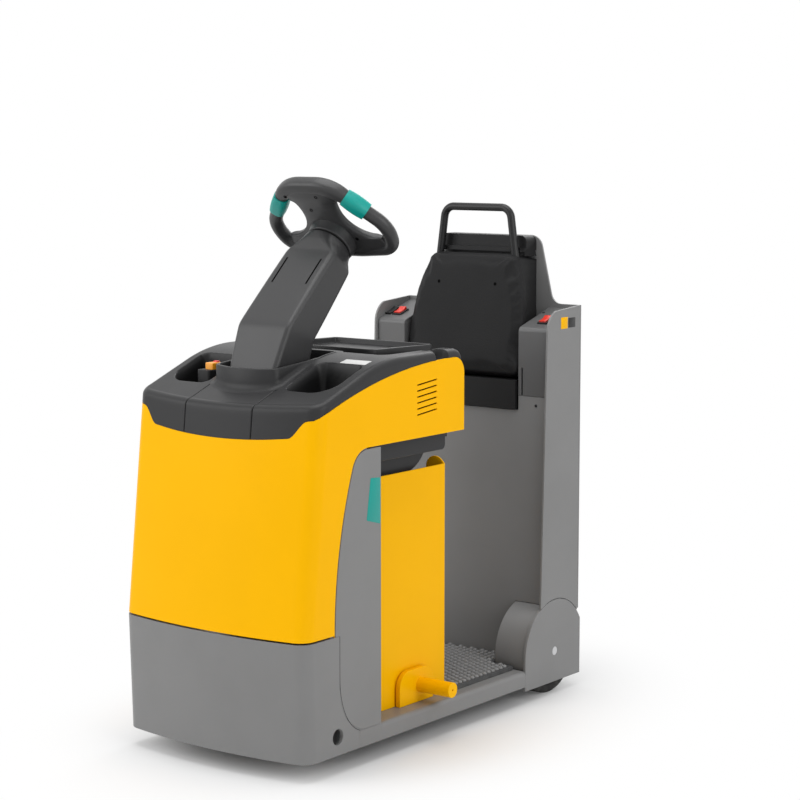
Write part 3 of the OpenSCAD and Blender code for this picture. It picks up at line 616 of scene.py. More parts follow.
def cover(node, columns):
    """One moulding. Its top is a height over rows and columns, its front and side roll over a round edge and
    hang down to the hood, and its seams are rolled in and stepped under the neighbour."""
    centre = node == "top_cover_centre"
    gap = np.minimum(np.abs(columns - SEAM), np.abs(columns + SEAM)) - SEAM_GAP
    sunk = SEAM_ROLL - np.sqrt(np.maximum(SEAM_ROLL ** 2 - np.maximum(SEAM_ROLL - gap, 0.0) ** 2, 0.0))
    t = np.linspace(0.0, 1.0, 290)[:, None]
    x = REAR + (front_edge(columns) - REAR) * t
    y = np.broadcast_to(columns, x.shape)
    top = np.stack([x, y, cover_height(x, y) - sunk], -1)
    roll = turn(7)[1:, None]
    rear = np.stack(np.broadcast_arrays(
        REAR - 20.0 * np.sin(roll), columns, top[0, :, 2] - 12.0 * (1 - np.cos(roll))), -1)[::-1]
    foot = rear[:1] * (1, 1, 0) + (-6, 0, 948)
    top = np.concatenate([foot, rear, top])
    skin = Skin()
    skin.add(top)
    out = nose_normal(columns, EDGE)
    rim = top[-1] + np.outer(sunk, (0, 0, 1))
    low = hood_dip(columns + out[:, 1] * EDGE)
    lean, reach, sink = np.ones(len(columns)), np.full(len(columns), EDGE), sunk
    if not centre:
        side = top[:, -1] if columns[-1] > 0 else top[:, 0]
        order = slice(None) if columns[-1] < 0 else slice(None, None, -1)
        rim = np.concatenate([side, rim[order]])
        out = np.concatenate([np.tile((0.0, np.sign(columns[0])), (len(side), 1)), out[order]])
        lean = np.concatenate([ease((side[:, 0] - 380) / 140), lean])
        low = np.concatenate([hood_edge(np.maximum(side[:, 0], -26.0)), low[order]])
        reach = np.where(rim[:, 2] - EDGE > low, EDGE, 12.0)
        sink = np.concatenate([np.zeros(len(side)), sunk[order]])
    angle = np.concatenate([turn(8), np.full(7, np.pi / 2)])
    fall = np.concatenate([np.zeros(8), np.linspace(0, 1, 8)[1:]])
    rows = []
    for a, f in zip(angle, fall):
        z = rim[:, 2] - EDGE * (1 - np.cos(a))
        z = z + f * (np.minimum(low + 0.8, z) - z)
        push = reach * np.sin(a)
        x = rim[:, 0] + out[:, 0] * push / UPRIGHT + lean * (rim[:, 2] - z) * LEAN
        y = rim[:, 1] + out[:, 1] * push
        into = np.stack([out[:, 0] * np.sin(a), out[:, 1] * np.sin(a), np.full(len(z), np.cos(a))], -1)
        rows.append(np.stack([x, y, z], -1) - sink[:, None] * into)
    inner = rows[-1] - np.column_stack([out * 3.0, np.zeros(len(out))])
    skin.add(np.stack(rows + [inner]))
    into_front = np.stack([np.sin(angle), 0 * angle, np.cos(angle)], -1)
    for column in (0, len(columns) - 1):
        if gap[column] < 0.1:
            step = (0.0, 4.0 * np.sign(columns[column]) if centre else 0.0, 0.0)
            face = np.stack(rows)[:, column if centre else -1]
            for edge, into in ((top[:, column], np.array((0, 0, 1))), (face, into_front)):
                deep = edge - SEAM_DEPTH * into
                skin.add(np.stack([edge, deep, deep + step]))
    if centre:
        collar(skin)
    piece = skin.make(node + "_skin", "charcoal_plastic", "chassis", (node,), outward=(0.1, 0, 1), crease=50.0)
    x, y, z = points_of(piece.data).T * 1000.0
    # Painted shade: how deep each point lies in a pocket, kept as the pocket value that darkens its colour
    depth = np.clip((crown(x) - z - 4.0) / 24.0, 0.0, 1.0) * (outside(x, np.abs(y), *POCKET) < 4.0)
    piece.data.attributes.new("pocket", "FLOAT", "POINT").data.foreach_set("value", depth)


outer = CORNER[1] + (CORNER_RADIUS - EDGE) * np.sin(turn(16, 18.0, 90.0))
left_columns = np.concatenate([SEAM + SEAM_STEPS, np.arange(SEAM + 7.0, outer[0] - 1.0, 2.0), outer])
centre_half = SEAM - SEAM_STEPS
centre_columns = np.concatenate([-centre_half, np.linspace(-101.0, 101.0, 102), centre_half[::-1]])
cover("top_cover_left", left_columns)
cover("top_cover_right", -left_columns[::-1])
cover("top_cover_centre", centre_columns)

TRAY_FRONT, TRAY_REAR, TRAY_HALF = 186.0, -76.0, 168.0


def tray_rim(x, y):
    """Height of the tray's rim, a little lower at the rear."""
    return 1007.0 + 6.0 * (x - TRAY_REAR) / (TRAY_FRONT - TRAY_REAR)


def document_tray():
    """A shallow tray: one profile of wall, rim and floor carried round a rectangle with round corners."""
    corners = [(TRAY_FRONT, -TRAY_HALF), (TRAY_FRONT, TRAY_HALF), (TRAY_REAR, TRAY_HALF), (TRAY_REAR, -TRAY_HALF)]
    rim = over(tray_rim, [(0.0, -3.0), (-0.9, -0.9), (-3.0, 0.0), (-7.0, 0.0), (-9.1, -0.9), (-10.0, -3.0)])
    profile = [(-6.0, 986.0), (-2.0, 986.5), (-0.5, 989.0)] + rim + [
        (-11.0, 998.0), (-12.5, 994.6), (-16.0, 993.2), (-20.0, 993.0)]
    skin = Skin()
    skin.add(band(even(round_loop(corners, [18] * 4), 200), profile), around=True, first=True, last=True)
    skin.make("document_tray_skin", "charcoal_plastic", "chassis", ("document_tray",))


document_tray()


# Steering column and steering wheel

# The wheel's plane: its tilt, its middle, and the directions up it and out of it
TILT = math.radians(48.0)
HUB = np.array((150.0, 0.0, 1322.0))
UP_WHEEL = np.array((math.cos(TILT), 0.0, math.sin(TILT)))
OUT_WHEEL = np.array((-math.sin(TILT), 0.0, math.cos(TILT)))


def on_wheel(u, y, n):
    """Points from the wheel's own directions: u up its plane, y across and n out of it."""
    u, y, n = np.broadcast_arrays(u, y, n)
    return HUB + u[..., None] * UP_WHEEL + y[..., None] * (0.0, 1.0, 0.0) + n[..., None] * OUT_WHEEL


# The wheel turns about a point below its middle, and the column's head is under that point
AXIS = HUB - 33.0 * UP_WHEEL
HEAD = AXIS - 47.0 * OUT_WHEEL
COLUMN = np.array([
    # stage, x, z, lean, depth, width, corner
    (0.0, 415.0, 924.0, 0.0, 140.0, 148.0, 14.0),
    (1.0, 367.0, 1062.0, 24.0, 112.0, 172.0, 13.0),
    (2.0, 203.0, 1229.0, 45.0, 92.0, 168.0, 18.0),
    (2.6, 0.4 * 203 + 0.6 * HEAD[0], 0.4 * 1229 + 0.6 * HEAD[2], 46.8, 116.0, 140.0, 50.0),
    (3.0, HEAD[0], HEAD[2], 48.0, 128.0, 128.0, 63.5)])


def column_section(stage, sides=13):
    """Rings of the column: a round-cornered rectangle whose place, lean, size and corners follow the stage."""
    x, z, lean, depth, width, corner = (
        np.interp(stage, COLUMN[:, 0], COLUMN[:, k])[:, None] for k in range(1, 7))
    f = np.concatenate([turn(sides, 90 * k, 90 * k + 90) for k in range(4)])
    sx = np.repeat((1, -1, -1, 1), sides)
    sy = np.repeat((1, 1, -1, -1), sides)
    a = sx * (depth / 2 - corner) + corner * np.cos(f)
    b = sy * (width / 2 - corner) + corner * np.sin(f)
    lean = np.radians(lean)
    return np.stack([x + a * np.cos(lean), b + 0 * x, z + a * np.sin(lean)], -1)


def steering_column():
    """Rings stacked up the column, with the bend softened by averaging over neighbouring stages."""
    soft = column_section(np.linspace(0.0, 3.0, 91))
    for _ in range(3):
        soft[1:-1] = (soft[:-2] + 2 * soft[1:-1] + soft[2:]) / 4
    flush = soft[-1]
    lip = flush - 2.0 * OUT_WHEEL
    soft = np.concatenate([soft[:-1], [lip, flush + (HEAD - lip) * 0.02, HEAD + (flush - HEAD) * 0.36]])
    skin = Skin()
    skin.add(soft, around=True, first=True, last=True)
    skin.make("steering_column_skin", "post_plastic", "chassis", ("steering_column",), crease=60.0)


def column_slit_shade():
    """Two dark slits down the column's face, in painted shade: a flat near-black section carried along a few stages
    of the column.
    """
    stage = np.linspace(1.55, 1.89, 8)
    x, z, lean, depth = (np.interp(stage, COLUMN[:, 0], COLUMN[:, k]) for k in (1, 2, 3, 4))
    lean = np.radians(lean)
    for middle, word in ((56.0, "left"), (-56.0, "right")):
        rows = []
        for off, out in ((-2.4, -2.0), (-2.2, 0.5), (2.2, 0.5), (2.4, -2.0)):
            d = depth / 2 + out
            rows.append(np.stack([x + d * np.cos(lean), np.full(8, middle + off), z + d * np.sin(lean)], -1))
        skin = Skin()
        skin.add(np.stack(rows, 1), around=True, first=True, last=True)
        # Near-black: the slit's painted shade
        skin.make("column_slit_" + word, "dark_gap", "chassis")


steering_column()
column_slit_shade()

RIM = even(round_loop(
    [(72, 140), (188, 4), (172, -74), (60, -84), (-60, -84), (-172, -74), (-188, 4), (-72, 140)],
    [100, 70, 48, 200, 200, 48, 70, 100], 14), 220)


# The hub's waist, and profiles of the boss and the screws as way along the axis and radius
WAIST, WAIST_AT = 59.5, 48.0
BOSS = [(-12.0, 0.0), (-12.0, 68.0), (-15.5, 67.4), (-18.5, 66.6), (-25.0, 65.2), (-31.0, 64.2), (-36.0, 63.7),
        (-39.0, 63.6), (-40.6, 62.4), (-41.0, 58.0), (-41.0, 18.0), (-70.0, 17.5)]
WHEEL_SCREW = [(1.0, 0.0), (1.0, 4.4), (-0.5, 4.4), (-0.9, 3.6), (0.3, 3.0), (0.3, 0.0)]


def web_half(u):
    """Half width of the hub at a height up the wheel: a waist of 59.5, widening by a quarter of an ellipse up to
    the front bar, and by a larger one down to the rim's rear corners."""
    up, down = (u - WAIST_AT) / 48.0, (WAIST_AT - u) / 80.0
    upper = WAIST + 18.0 * (1.0 - np.sqrt(np.maximum(1.0 - up ** 2, 0.0))) + 0.6 * np.maximum(u - 96.0, 0.0)
    lower = WAIST + 92.0 * (1.0 - np.sqrt(np.maximum(1.0 - down ** 2, 0.0)))
    foot = WAIST + 92.0 + 12.0 * ease((-32.0 - u) / 30.0)
    return np.where(u > WAIST_AT, upper, np.where(u > -32.0, lower, foot))


def steering_wheel():
    """A round rim, thicker and squarer along the front bar, a saddle-shaped hub of rounded sections, and a round
    boss."""
    across, up = RIM.T
    thick = 18.0 + 2.5 * ease((up - 90.0) / 45.0)
    square = 1.0 - 0.3 * ease((up - 84.0) / 40.0)
    skin = Skin()
    skin.add(tube(on_wheel(up, across, 0.0), thick, OUT_WHEEL, 40, square=square), around=True, along=True)
    u = np.concatenate([np.linspace(-80.0, -34.0, 16), -32.0 + 80.0 * (1 - np.cos(turn(24)[1:])),
                        np.linspace(52.0, 134.0, 28)])[:, None]
    f = circle(56)
    broad, tall = squared(np.cos(f), 0.55), squared(np.sin(f), 0.55)
    top = 12.0 + 3.0 * ease((u - 80.0) / 50.0)
    foot = 15.0 + 5.0 * ease((u - 70.0) / 50.0) + 1.5 * ease((-u - 40.0) / 30.0)
    dish = 3.0 * np.cos(np.pi * np.clip(broad, -1, 1) / 2) * (1 - ease(np.abs(u - 30.0) / 90.0))
    n = np.where(tall > 0, top * tall - dish, foot * tall)
    skin.add(on_wheel(u, web_half(u) * broad, n), around=True, first=True, last=True)
    skin.add(revolve(BOSS, AXIS, OUT_WHEEL, 72), around=True)
    skin.make("steering_wheel_skin", "post_plastic", "steering_wheel", ("steering_wheel",), crease=55.0)
    skin = Skin()
    for u, y in ((118.0, -73.0), (118.0, 29.0), (68.0, -17.0), (-31.0, 80.0)):
        at = on_wheel(u, y, np.interp(u, (-40, 70, 120), (-15.2, -15.2, -20.2)))
        skin.add(revolve(WHEEL_SCREW, at, OUT_WHEEL, 20), around=True)
    skin.make("steering_wheel_screws", "dark_gap", "steering_wheel")


steering_wheel()

# Ends of the left sleeve, across and up the wheel
SLEEVE_LOW, SLEEVE_HIGH = np.array((147.0, 52.1)), np.array((103.0, 103.6))


def thumb_switches():
    """Barrel sleeves on the two front bars: a rounded section that bulges in the middle, with a thumb groove."""
    t = np.concatenate([[0, 0], np.linspace(0.0, 1.0, 15), [1, 1]])
    barrel = 20.2 + 2.4 * np.sin(np.pi * np.linspace(0.06, 0.94, 15))
    size = np.concatenate([[15.0, 19.4], barrel, [19.4, 15.0]])[:, None]
    flat = SLEEVE_LOW + (SLEEVE_HIGH - SLEEVE_LOW) * t[:, None]
    f = circle(64)
    wide, tall = squared(np.cos(f), 0.68), squared(np.sin(f), 0.68)
    cut = ease((np.cos(f - np.arctan2(-0.35, 1.0)) - 0.985) / 0.012)
    r = (size * (1.0 - 0.06 * cut * (size > 20.6)))[..., None]
    skin = Skin()
    for side in (1, -1):
        path = on_wheel(flat[:, 1], side * flat[:, 0], 0.0)
        line = path[-3] - path[2]
        across = np.cross(line / np.linalg.norm(line), OUT_WHEEL)
        skin.add(path[:, None] + r * (wide[:, None] * across + tall[:, None] * OUT_WHEEL),
                 around=True, first=True, last=True)
    skin.make("thumb_switch_skin", "teal_plastic", "steering_wheel", ("thumb_switches",), crease=45.0)


thumb_switches()


# Backrest: stuffed pad and grab hoop

PAD_LEAN = math.radians(10.07)
PAD_OUT = np.array((math.cos(PAD_LEAN), 0.0, math.sin(PAD_LEAN)))
# In metres: a point of the pad, how far behind it the held back begins, and the most that cloth may swell
PAD_MIDDLE = np.array((-0.418, 0.0, 0.890))
PAD_BACK, PAD_SWELL = -0.026, 0.006
PAD_BOLT = [(-3.0, 0.0), (-3.0, 4.6), (0.6, 4.6), (0.9, 4.0), (0.5, 3.2), (0.5, 0.0)]
PAD_BOLT_SIDE, PAD_BOLT_HEIGHT = 97.0, 1141.0


def back_pad():
    """The pad's solid, remeshed at 5 mm and eased, then widened, a little more above the caps, and swollen by
    cloth under pressure with its back held flat, where no point moves towards the middle or more than 6 mm."""
    scene = bpy.context.scene
    pad = bpy.data.objects.new("back_pad", nodes["backrest_pad"].data.copy())
    scene.collection.objects.link(pad)
    remesh = pad.modifiers.new("remesh", "REMESH")
    remesh.mode = "VOXEL"
    remesh.voxel_size = 0.005
    smooth = pad.modifiers.new("ease", "SMOOTH")
    smooth.iterations = 4

    def settled():
        bpy.context.view_layer.update()
        return bpy.data.meshes.new_from_object(pad.evaluated_get(bpy.context.evaluated_depsgraph_get()))

    mesh = settled()
    pad.modifiers.clear()
    pad.data = mesh
    rest = points_of(mesh)
    rest[:, 1] *= 1.025 + 0.02 * ease((rest[:, 2] - 1.045) / 0.08)
    mesh.vertices.foreach_set("co", rest.ravel())
    held = pad.vertex_groups.new(name="back")
    held.add(np.flatnonzero((rest - PAD_MIDDLE) @ PAD_OUT < PAD_BACK).tolist(), 1.0, "REPLACE")
    cloth = pad.modifiers.new("stuffing", "CLOTH")
    cloth.settings.use_pressure = True
    cloth.settings.uniform_pressure_force = 4.0
    cloth.settings.effector_weights.gravity = 0.0
    cloth.settings.vertex_group_mass = "back"
    for step in range(1, 21):
        scene.frame_set(step)
    moved = points_of(settled()) - rest
    moved[:, 1] = np.where(moved[:, 1] * rest[:, 1] < 0.0, 0.0, moved[:, 1])
    scene.frame_set(1)
    pad.modifiers.clear()
    pad.vertex_groups.clear()
    far = np.linalg.norm(moved, axis=1)
    moved *= np.minimum(1.0, PAD_SWELL / np.maximum(far, 1e-9))[:, None]
    mesh.vertices.foreach_set("co", (rest + moved).ravel())
    mesh.update()
    bpy.data.objects.remove(pad)
    pad = dress("back_pad", mesh, "pad_leather", "chassis", ("backrest_pad",), crease=180.0, weld=1e-7)
    fine = pad.modifiers.new("fine", "SUBSURF")
    fine.levels = fine.render_levels = 1
    front = points_of(mesh) * 1000.0
    skin = Skin()
    for y in (PAD_BOLT_SIDE, -PAD_BOLT_SIDE):
        near = front[np.hypot(front[:, 1] - y, front[:, 2] - PAD_BOLT_HEIGHT) < 7.0]
        at = (near[:, 0].max() - 0.6, y, PAD_BOLT_HEIGHT)
        skin.add(revolve(PAD_BOLT, at, PAD_OUT, 24), around=True)
    skin.make("pad_bolts", "dark_gap", "chassis")


back_pad()


HOOP_X, HOOP_FOOT, HOOP_TOP = -508.0, 1206.0, 1352.0


def grab_hoop():
    """A bent tube: a circle carried along two leaning legs and a level bar with round corners."""
    corners = [(-131.0, HOOP_FOOT), (131.0, HOOP_FOOT), (111.0, HOOP_TOP), (-111.0, HOOP_TOP)]
    flat = np.roll(round_loop(corners, [1, 1, 32, 32], 12), -18, 0)[:36]
    path = even(np.column_stack([np.full(len(flat), HOOP_X), flat]), 150, closed=False)
    skin = Skin()
    skin.add(tube(path, 11.0, (1, 0, 0), 24, closed=False), around=True, first=True, last=True)
    skin.make("grab_hoop_skin", "black_paint", "chassis", ("grab_hoop",), crease=50.0)


grab_hoop()


# Platform mat and wheels


MAT_PLAN = [(-40, -262), (-40, 262), (-318, 262), (-318, 189), (-420, 189), (-420, -189), (-318, -189), (-318, -262)]
MAT_EDGE = [(0.0, 92.0), (0.0, 101.4), (-0.6, 102.6), (-1.8, 103.0), (-3.0, 103.0)]
STUD = [(0.0, 7.6), (3.6, 6.6), (5.2, 5.4), (6.0, 3.4)]
STUD_FOOT, STUD_PITCH = 102.8, 19.0
STUD_REAR, STUD_SIDE = -408.0, 247.0


def platform_mat():
    """A sheet with rounded edges and rows of small domed studs: each stud is a short profile turned about its
    axis, and every other row is half a pitch forward."""
    loop = even(round_loop(MAT_PLAN, [6, 6, 4, 4, 4, 4, 4, 4], 5), 320)
    skin = Skin()
    skin.add(band(loop, MAT_EDGE), around=True, first=True, last=True)
    skin.make("platform_mat_skin", "black_rubber", "chassis", ("platform_mat",))
    x, y = np.meshgrid(np.arange(STUD_REAR, -45.0, STUD_PITCH), np.arange(-STUD_SIDE, STUD_SIDE + 1.0, STUD_PITCH),
                       indexing="ij")
    x = x + np.where(np.round((y + STUD_SIDE) / STUD_PITCH) % 2 == 1, STUD_PITCH / 2, 0.0)
    keep = (x < -52) & ((x > -305) | (np.abs(y) < 178))
    stud = revolve(STUD, (0, 0, STUD_FOOT), (0, 0, 1), 12)
    skin = Skin()
    for spot in np.stack([x[keep], y[keep], 0 * x[keep]], -1):
        skin.add(spot + stud, around=True, last=True)
    skin.make("platform_mat_studs", "stud_rubber", "chassis", outward=(0, 0, 1), crease=60.0)


platform_mat()

TYRE_WIDTH = 75.0
REAR_AXLE, REAR_TRACK = (-468.0, 122.0), 248.0


def tyre(node, body, at, hub):
    """A solid tyre turned about its axle, which stands one radius high: round shoulders, a groove near each rim
    and a flat tread."""
    w, radius = TYRE_WIDTH / 2, at[2]
    half = [(-w + 3, hub), (-w, hub + 3), (-w, hub + 8), (-w + 1.2, hub + 9.5), (-w, hub + 11), (-w, radius - 12),
            (-w + 2.4, radius - 5), (-w + 7, radius - 1.4), (-w + 13, radius)]
    profile = half + [(-a, r) for a, r in half[::-1]]
    skin = Skin()
    skin.add(revolve(profile, at, (0, 1, 0), 52), around=True, along=True)
    skin.make(node + "_skin", "tyre", body, (node,), crease=50.0)


tyre("drive_tyre", "drive_wheel", (440.0, 0.0, 115.0), 84.0)
tyre("rear_tyre_left", "rear_wheel_left", (REAR_AXLE[0], REAR_TRACK, REAR_AXLE[1]), 88.0)
tyre("rear_tyre_right", "rear_wheel_right", (REAR_AXLE[0], -REAR_TRACK, REAR_AXLE[1]), 88.0)


# Sheet metal, castings and mouldings whose solids are right, with their edges rounded


def parallel_back(points):
    """The housing's rear corners brought to a half width of 153 above the caps, and its shelf set behind
    the hoop's feet."""
    x, y, z = points.T
    corner = (x < -570) & (z > 900) & (z < 1229) & (np.abs(y) > 100)
    half = np.where(corner, 153.0 + 35.0 * ease((1060.0 - z) / 120.0), np.abs(y))
    shelf = (x > -525) & (z > 1215)
    half = np.where(shelf, np.minimum(half, 138.0), half)
    return np.stack([x - 28.0 * shelf, np.sign(y) * half, z], -1)


def raked_front(points):
    """The side plates' front edges brought forward towards the foot, by 23 near the fender, whose round edge the
    lowest corner still follows."""
    x, y, z = points.T
    front = x > x.max() - 1.0
    ahead = x + np.where(front, 23.0 * np.clip((1000.0 - z) / 700.0, 0.0, 1.0), 0.0)
    reach = np.hypot(x - REAR_AXLE[0], z - REAR_AXLE[1])
    foot = REAR_AXLE[1] + np.sqrt(np.maximum(reach ** 2 - (ahead - REAR_AXLE[0]) ** 2, 0.0))
    return np.stack([ahead, y, np.where(front & (z < 400.0), foot, z)], -1)


for name, width in {
        "front_apron": 2.0, "side_panel_left": 1.2, "side_panel_right": 1.2, "hood_shell": 0.6, "knee_tub": 3.0,
        "release_tab": 2.0, "battery_block": 3.0, "battery_cover_left": 1.0, "battery_cover_right": 1.0,
        "battery_locks": 1.5, "sills": 2.0, "floor_plate": 1.0, "rear_wall": 1.0, "rear_panel": 1.0,
        "fender_left": 2.4, "fender_right": 2.4, "coupling_jaw": 2.0, "drive_bracket": 1.0}.items():
    soften(name, width)
soften("column_covers", 4.0, slot="column_plastic")
soften("side_plates", 1.0, shape=raked_front)
soften("backrest_housing", 4.0, shape=parallel_back)
soften("coupling_pin", 1.5, body="coupling_pin")
soften("drive_fork", 3.0, body="drive_unit")
soften("drive_motor", 3.0, body="drive_unit")


# Switches, plates, screws and lines on the outside

BODY_HALF = 300.0
# The sloping caps of the column covers
CAP_SLOPE = math.atan2(44.0, 140.0)
CAP_OUT = (math.sin(CAP_SLOPE), 0.0, math.cos(CAP_SLOPE))
ROCKER_SIDE = 252.0
# Profiles of distance outside a loop and height
ROCKER_FRAME = [(-0.5, -0.5), (0.0, 1.0), (0.0, 2.8), (-0.4, 3.6), (-1.2, 4.0), (-4.2, 4.0), (-4.6, 3.0)]
PLATE = [(0.0, -0.5), (0.0, 0.3), (-0.4, 0.5)]


def oblong(centre, size, radius, steps=6):
    """A flat rectangle with round corners, anticlockwise."""
    a, b = size[0] / 2.0, size[1] / 2.0
    return round_loop(np.asarray(centre) + [(a, -b), (a, b), (-a, b), (-a, -b)], [radius] * 4, steps)


def raised(skin, loop, profile, place):
    """A low solid: a profile of distances outside a loop and heights, put in place by a function of three
    numbers."""
    skin.add(place(*np.moveaxis(band(loop, profile), -1, 0)), around=True, first=True, last=True)


def level(x, y, z):
    """Points as they are."""
    return np.stack([x, y, z], -1)


def on_side(side):
    """A function for points on the body's left side, 1, or right side, -1, a height out of the sheet."""
    return lambda x, z, h: np.stack([x, side * (BODY_HALF + h), z], -1)


def on_cap(back, y, up):
    """Points on the sloping cap of a column cover: a way back up the slope, across, and out of it."""
    back, y, up = np.broadcast_arrays(back, y, up)
    s, _, c = CAP_OUT
    return np.stack([-440.0 + (14.0 + up) * s - back * c, y, 1016.0 + (14.0 + up) * c + back * s], -1)


def rocker(skin, y, half, back, height, dip):
    """A rocker button: a round-edged section whose top dips between its two ends."""
    t = np.linspace(0.0, 1.0, 14)
    low, first, last = height
    top = first + (last - first) * t - dip * np.sin(np.pi * t)
    first_edge, last_edge = (np.sin(np.pi * np.clip(v * 12, 0, 0.5)) for v in (t, 1 - t))
    edge = 1.2 * first_edge * last_edge - 1.2
    across = np.array([-half, -half, -half + 0.5, -half + 1.6, half - 1.6, half - 0.5, half, half])
    drop = np.array([0.0, 1.6, 0.5, 0.0, 0.0, 0.5, 1.6, 0.0])
    up = (top + edge)[:, None] - drop
    up[:, 0] = up[:, -1] = low
    along = back[0] + (back[1] - back[0]) * t
    skin.add(on_cap(along[:, None], y + across, up), around=True, first=True, last=True)


def rocker_switches():
    """Two red rockers in black frames on the caps, and a plain one outboard on the right."""
    frames = Skin()
    for y in (ROCKER_SIDE, -ROCKER_SIDE):
        raised(frames, oblong((46.0, y), (44.0, 32.0), 3.0), ROCKER_FRAME, on_cap)
    rocker(frames, -282.0, 9.0, (24.0, 68.0), (-0.5, 6.5, 8.5), 2.5)
    frames.make("rocker_frames", "black_plastic", "chassis", ("rocker_switches",))
    buttons = Skin()
    for y in (ROCKER_SIDE, -ROCKER_SIDE):
        rocker(buttons, y, 11.0, (29.0, 63.0), (2.0, 8.5, 12.5), 3.0)
    buttons.make("rocker_buttons", "red_plastic", "chassis")


rocker_switches()


def emergency_switch():
    """A black housing in the right pocket with an orange pull lever and a red release button at its rear."""
    for name, slot, centre, size, radius, low, high in (
            ("emergency_base", "black_plastic", (418, -180), (54, 44), 8.0, 910.0, 961.0),
            ("emergency_lever", "orange_plastic", (412, -174), (34, 27), 4.0, 960.0, 978.0),
            ("emergency_release", "red_plastic", (402, -172), (12, 16), 3.6, 977.0, 981.5)):
        skin = Skin()
        raised(skin, oblong(centre, size, radius), [
            (-1.0, low), (0.0, low + 1.0), (0.0, high - 3.0), (-0.4, high - 1.4), (-1.4, high - 0.4), (-3.0, high)],
            level)
        skin.make(name, slot, "chassis", ("emergency_switch",) if slot == "black_plastic" else ())


emergency_switch()


def blank_plates():
    """Thin plates with soft edges and nothing on them: on the left panel, the left side plate and the left cover."""
    tall = round_loop([(327, 600), (382, 615), (366, 719), (327, 716)], [2, 4, 3, 2], 5)
    for name, slot, loop, profile, place in (
            ("teal_plate", "teal_plastic", tall, PLATE, on_side(1.0)),
            ("yellow_plate", "yellow_paint", oblong((-499.5, 1039.5), (33, 32), 2.0), PLATE, on_side(1.0)),
            ("dark_plate", "charcoal_plastic", oblong((-537.5, 1038.5), (35, 27), 2.0), PLATE, on_side(1.0)),
            ("pale_plate", "pale_label", even(oblong((324.0, 221.0), (28, 80), 2.0), 120),
             over(lambda x, y: crown(x), PLATE), level)):
        skin = Skin()
        raised(skin, loop, profile, place)
        skin.make(name, slot, "chassis")


blank_plates()


def vent_shade_sheets():
    """Dark sheets behind the vents in the hood's sides: painted shade that makes the slots read dark."""
    skin = Skin()
    for side in (1.0, -1.0):
        # Near-black sheets: painted shade inside the vents
        raised(skin, oblong((133.0, 889.0), (104.0, 104.0), 6.0),
               [(0.0, -12.0), (0.0, -6.6), (-1.0, -6.2)], on_side(side))
    skin.make("vent_shade_sheets", "dark_gap", "chassis")


vent_shade_sheets()


def screws():
    """Pan-head screws on the caps and the rear wall, each turned about its own axis."""
    head = [(-1.0, 0.0), (-1.0, 4.2), (0.4, 4.2), (1.5, 3.612), (2.0, 2.52), (1.9, 2.016), (0.5, 1.848), (0.5, 0.0)]
    skin = Skin()
    for side in (1.0, -1.0):
        skin.add(revolve(head, on_cap(106.0, side * 207.0, 0.0), CAP_OUT, 24), around=True)
        skin.add(revolve(head, (-428.0, side * 256.0, 813.0), (1, 0, 0), 24), around=True)
    skin.make("panel_screws", "black_paint", "chassis", crease=35.0)


screws()


def seam_lines():
    """Thin dark joints on the apron's sides: straight down, then an arc forward under the panel's foot."""
    skin = Skin()
    straight = np.stack([np.full(8, 488.0), np.linspace(345.0, 236.0, 8)], -1)
    bend = arc((388.0, 236.0), (100.0, -146.0), turn(20, 0.0, 78.0))
    path = even(np.vstack([straight, bend[1:]]), 60, closed=False)
    along = heading(path, closed=False)
    across = np.stack([-along[:, 1], along[:, 0]], -1)
    for side in (1.0, -1.0):
        rows = [on_side(side)(*(path + off * across).T, np.full(60, h)) for off, h in (
            (-0.9, -0.5), (-0.7, 0.25), (0.7, 0.25), (0.9, -0.5))]
        skin.add(np.stack(rows, 1), around=True, first=True, last=True)
    skin.make("apron_seams", "black_paint", "chassis")


seam_lines()


# Plain pale floor, soft studio light and a white surround


def seen_rays(tree):
    """1 for rays from the camera, from mirrors and through glass, and 0 for the rays that light other things."""
    path = tree.nodes.new("ShaderNodeLightPath")
    total = path.outputs["Is Camera Ray"]
    for word in ("Is Glossy Ray", "Is Transmission Ray"):
        larger = tree.nodes.new("ShaderNodeMath")
        larger.operation = "MAXIMUM"
        tree.links.new(total, larger.inputs[0])
        tree.links.new(path.outputs[word], larger.inputs[1])
        total = larger.outputs[0]
    return total


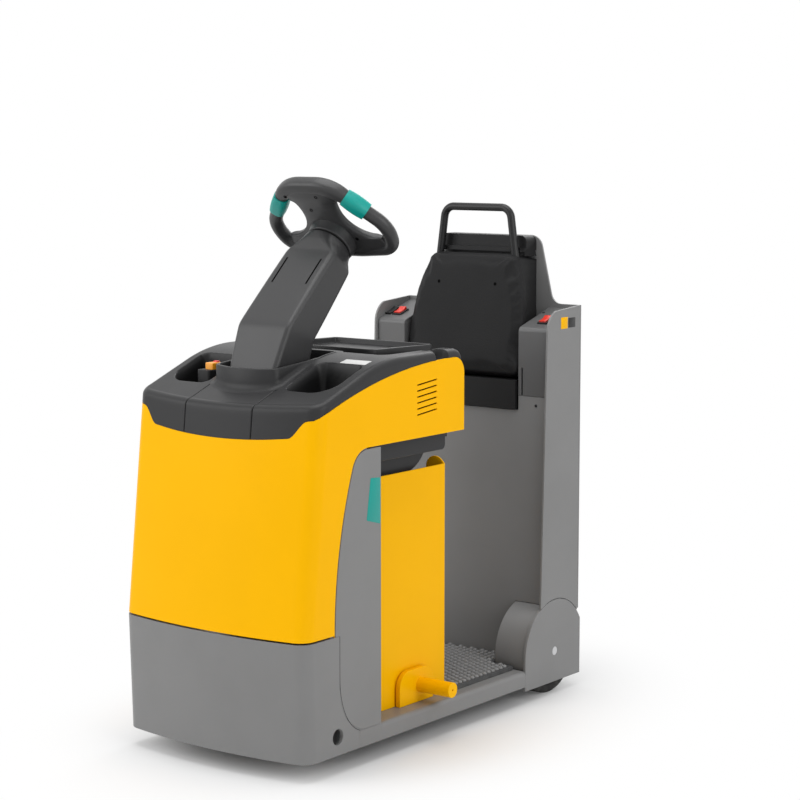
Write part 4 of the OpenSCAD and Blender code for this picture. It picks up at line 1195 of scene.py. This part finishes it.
def paper_floor():
    """A pale paper floor that takes the shadow near the tractor and fades to plain white further out."""
    corners = 14.0 * np.array([(-1, -1, 0), (1, -1, 0), (1, 1, 0), (-1, 1, 0)])
    mesh = bpy.data.meshes.new("floor")
    mesh.from_pydata(corners.tolist(), [], [(0, 1, 2, 3)])
    floor = bpy.data.objects.new("floor", mesh)
    bpy.context.scene.collection.objects.link(floor)
    paper = Finish("paper_floor", (0.78, 0.78, 0.78), 0.9, specular_ior_level=0.0)
    oval = paper.node("ShaderNodeVectorMath", {"operation": "MULTIPLY"}, {0: paper.place(), 1: (1.0, 1.5, 0.0)})
    beyond = paper.node("ShaderNodeVectorMath", {"operation": "LENGTH"}, {0: oval}, "Value")
    far = beyond.above(0.45, 1.2)
    white = paper.tree.nodes.new("ShaderNodeEmission")
    mix = paper.tree.nodes.new("ShaderNodeMixShader")
    factor = far * Value(paper, seen_rays(paper.tree))
    paper.tree.links.new(factor.socket, mix.inputs[0])
    paper.tree.links.new(paper.shader.outputs[0], mix.inputs[1])
    paper.tree.links.new(white.outputs[0], mix.inputs[2])
    paper.tree.links.new(mix.outputs[0], paper.tree.nodes["Material Output"].inputs["Surface"])
    mesh.materials.append(paper.material)


def soft_lamp(name, at, size, power):
    """A round lamp that faces the tractor's middle."""
    data = bpy.data.lights.new(name, "AREA")
    data.shape = "DISK"
    data.size = size
    data.energy = power
    light = bpy.data.objects.new(name, data)
    bpy.context.scene.collection.objects.link(light)
    aim = Vector((0.0, 0.0, 0.7)) - Vector(at)
    light.matrix_world = Matrix.Translation(at) @ aim.to_track_quat("-Z", "Y").to_matrix().to_4x4()


def white_surround():
    """A world that shows plain white to the camera and lights softly."""
    world = bpy.data.worlds.new("studio")
    world.use_nodes = True
    bpy.context.scene.world = world
    tree = world.node_tree
    background = tree.nodes["Background"]
    background.inputs["Color"].default_value = (1.0, 1.0, 1.0, 1.0)
    strength = tree.nodes.new("ShaderNodeMapRange")
    tree.links.new(seen_rays(tree), strength.inputs["Value"])
    strength.inputs["To Min"].default_value = 0.55
    strength.inputs["To Max"].default_value = 1.0
    tree.links.new(strength.outputs[0], background.inputs["Strength"])
    bpy.context.scene.view_settings.view_transform = "Standard"


paper_floor()
soft_lamp("front_lamp", (4.2, -3.2, 3.0), 4.5, 125.0)
soft_lamp("side_lamp", (0.6, 5.5, 3.0), 4.5, 110.0)
soft_lamp("top_lamp", (0.3, 0.0, 5.0), 4.0, 130.0)
soft_lamp("back_lamp", (-4.5, -1.0, 3.4), 3.0, 60.0)
white_surround()

bpy.context.view_layer.update()
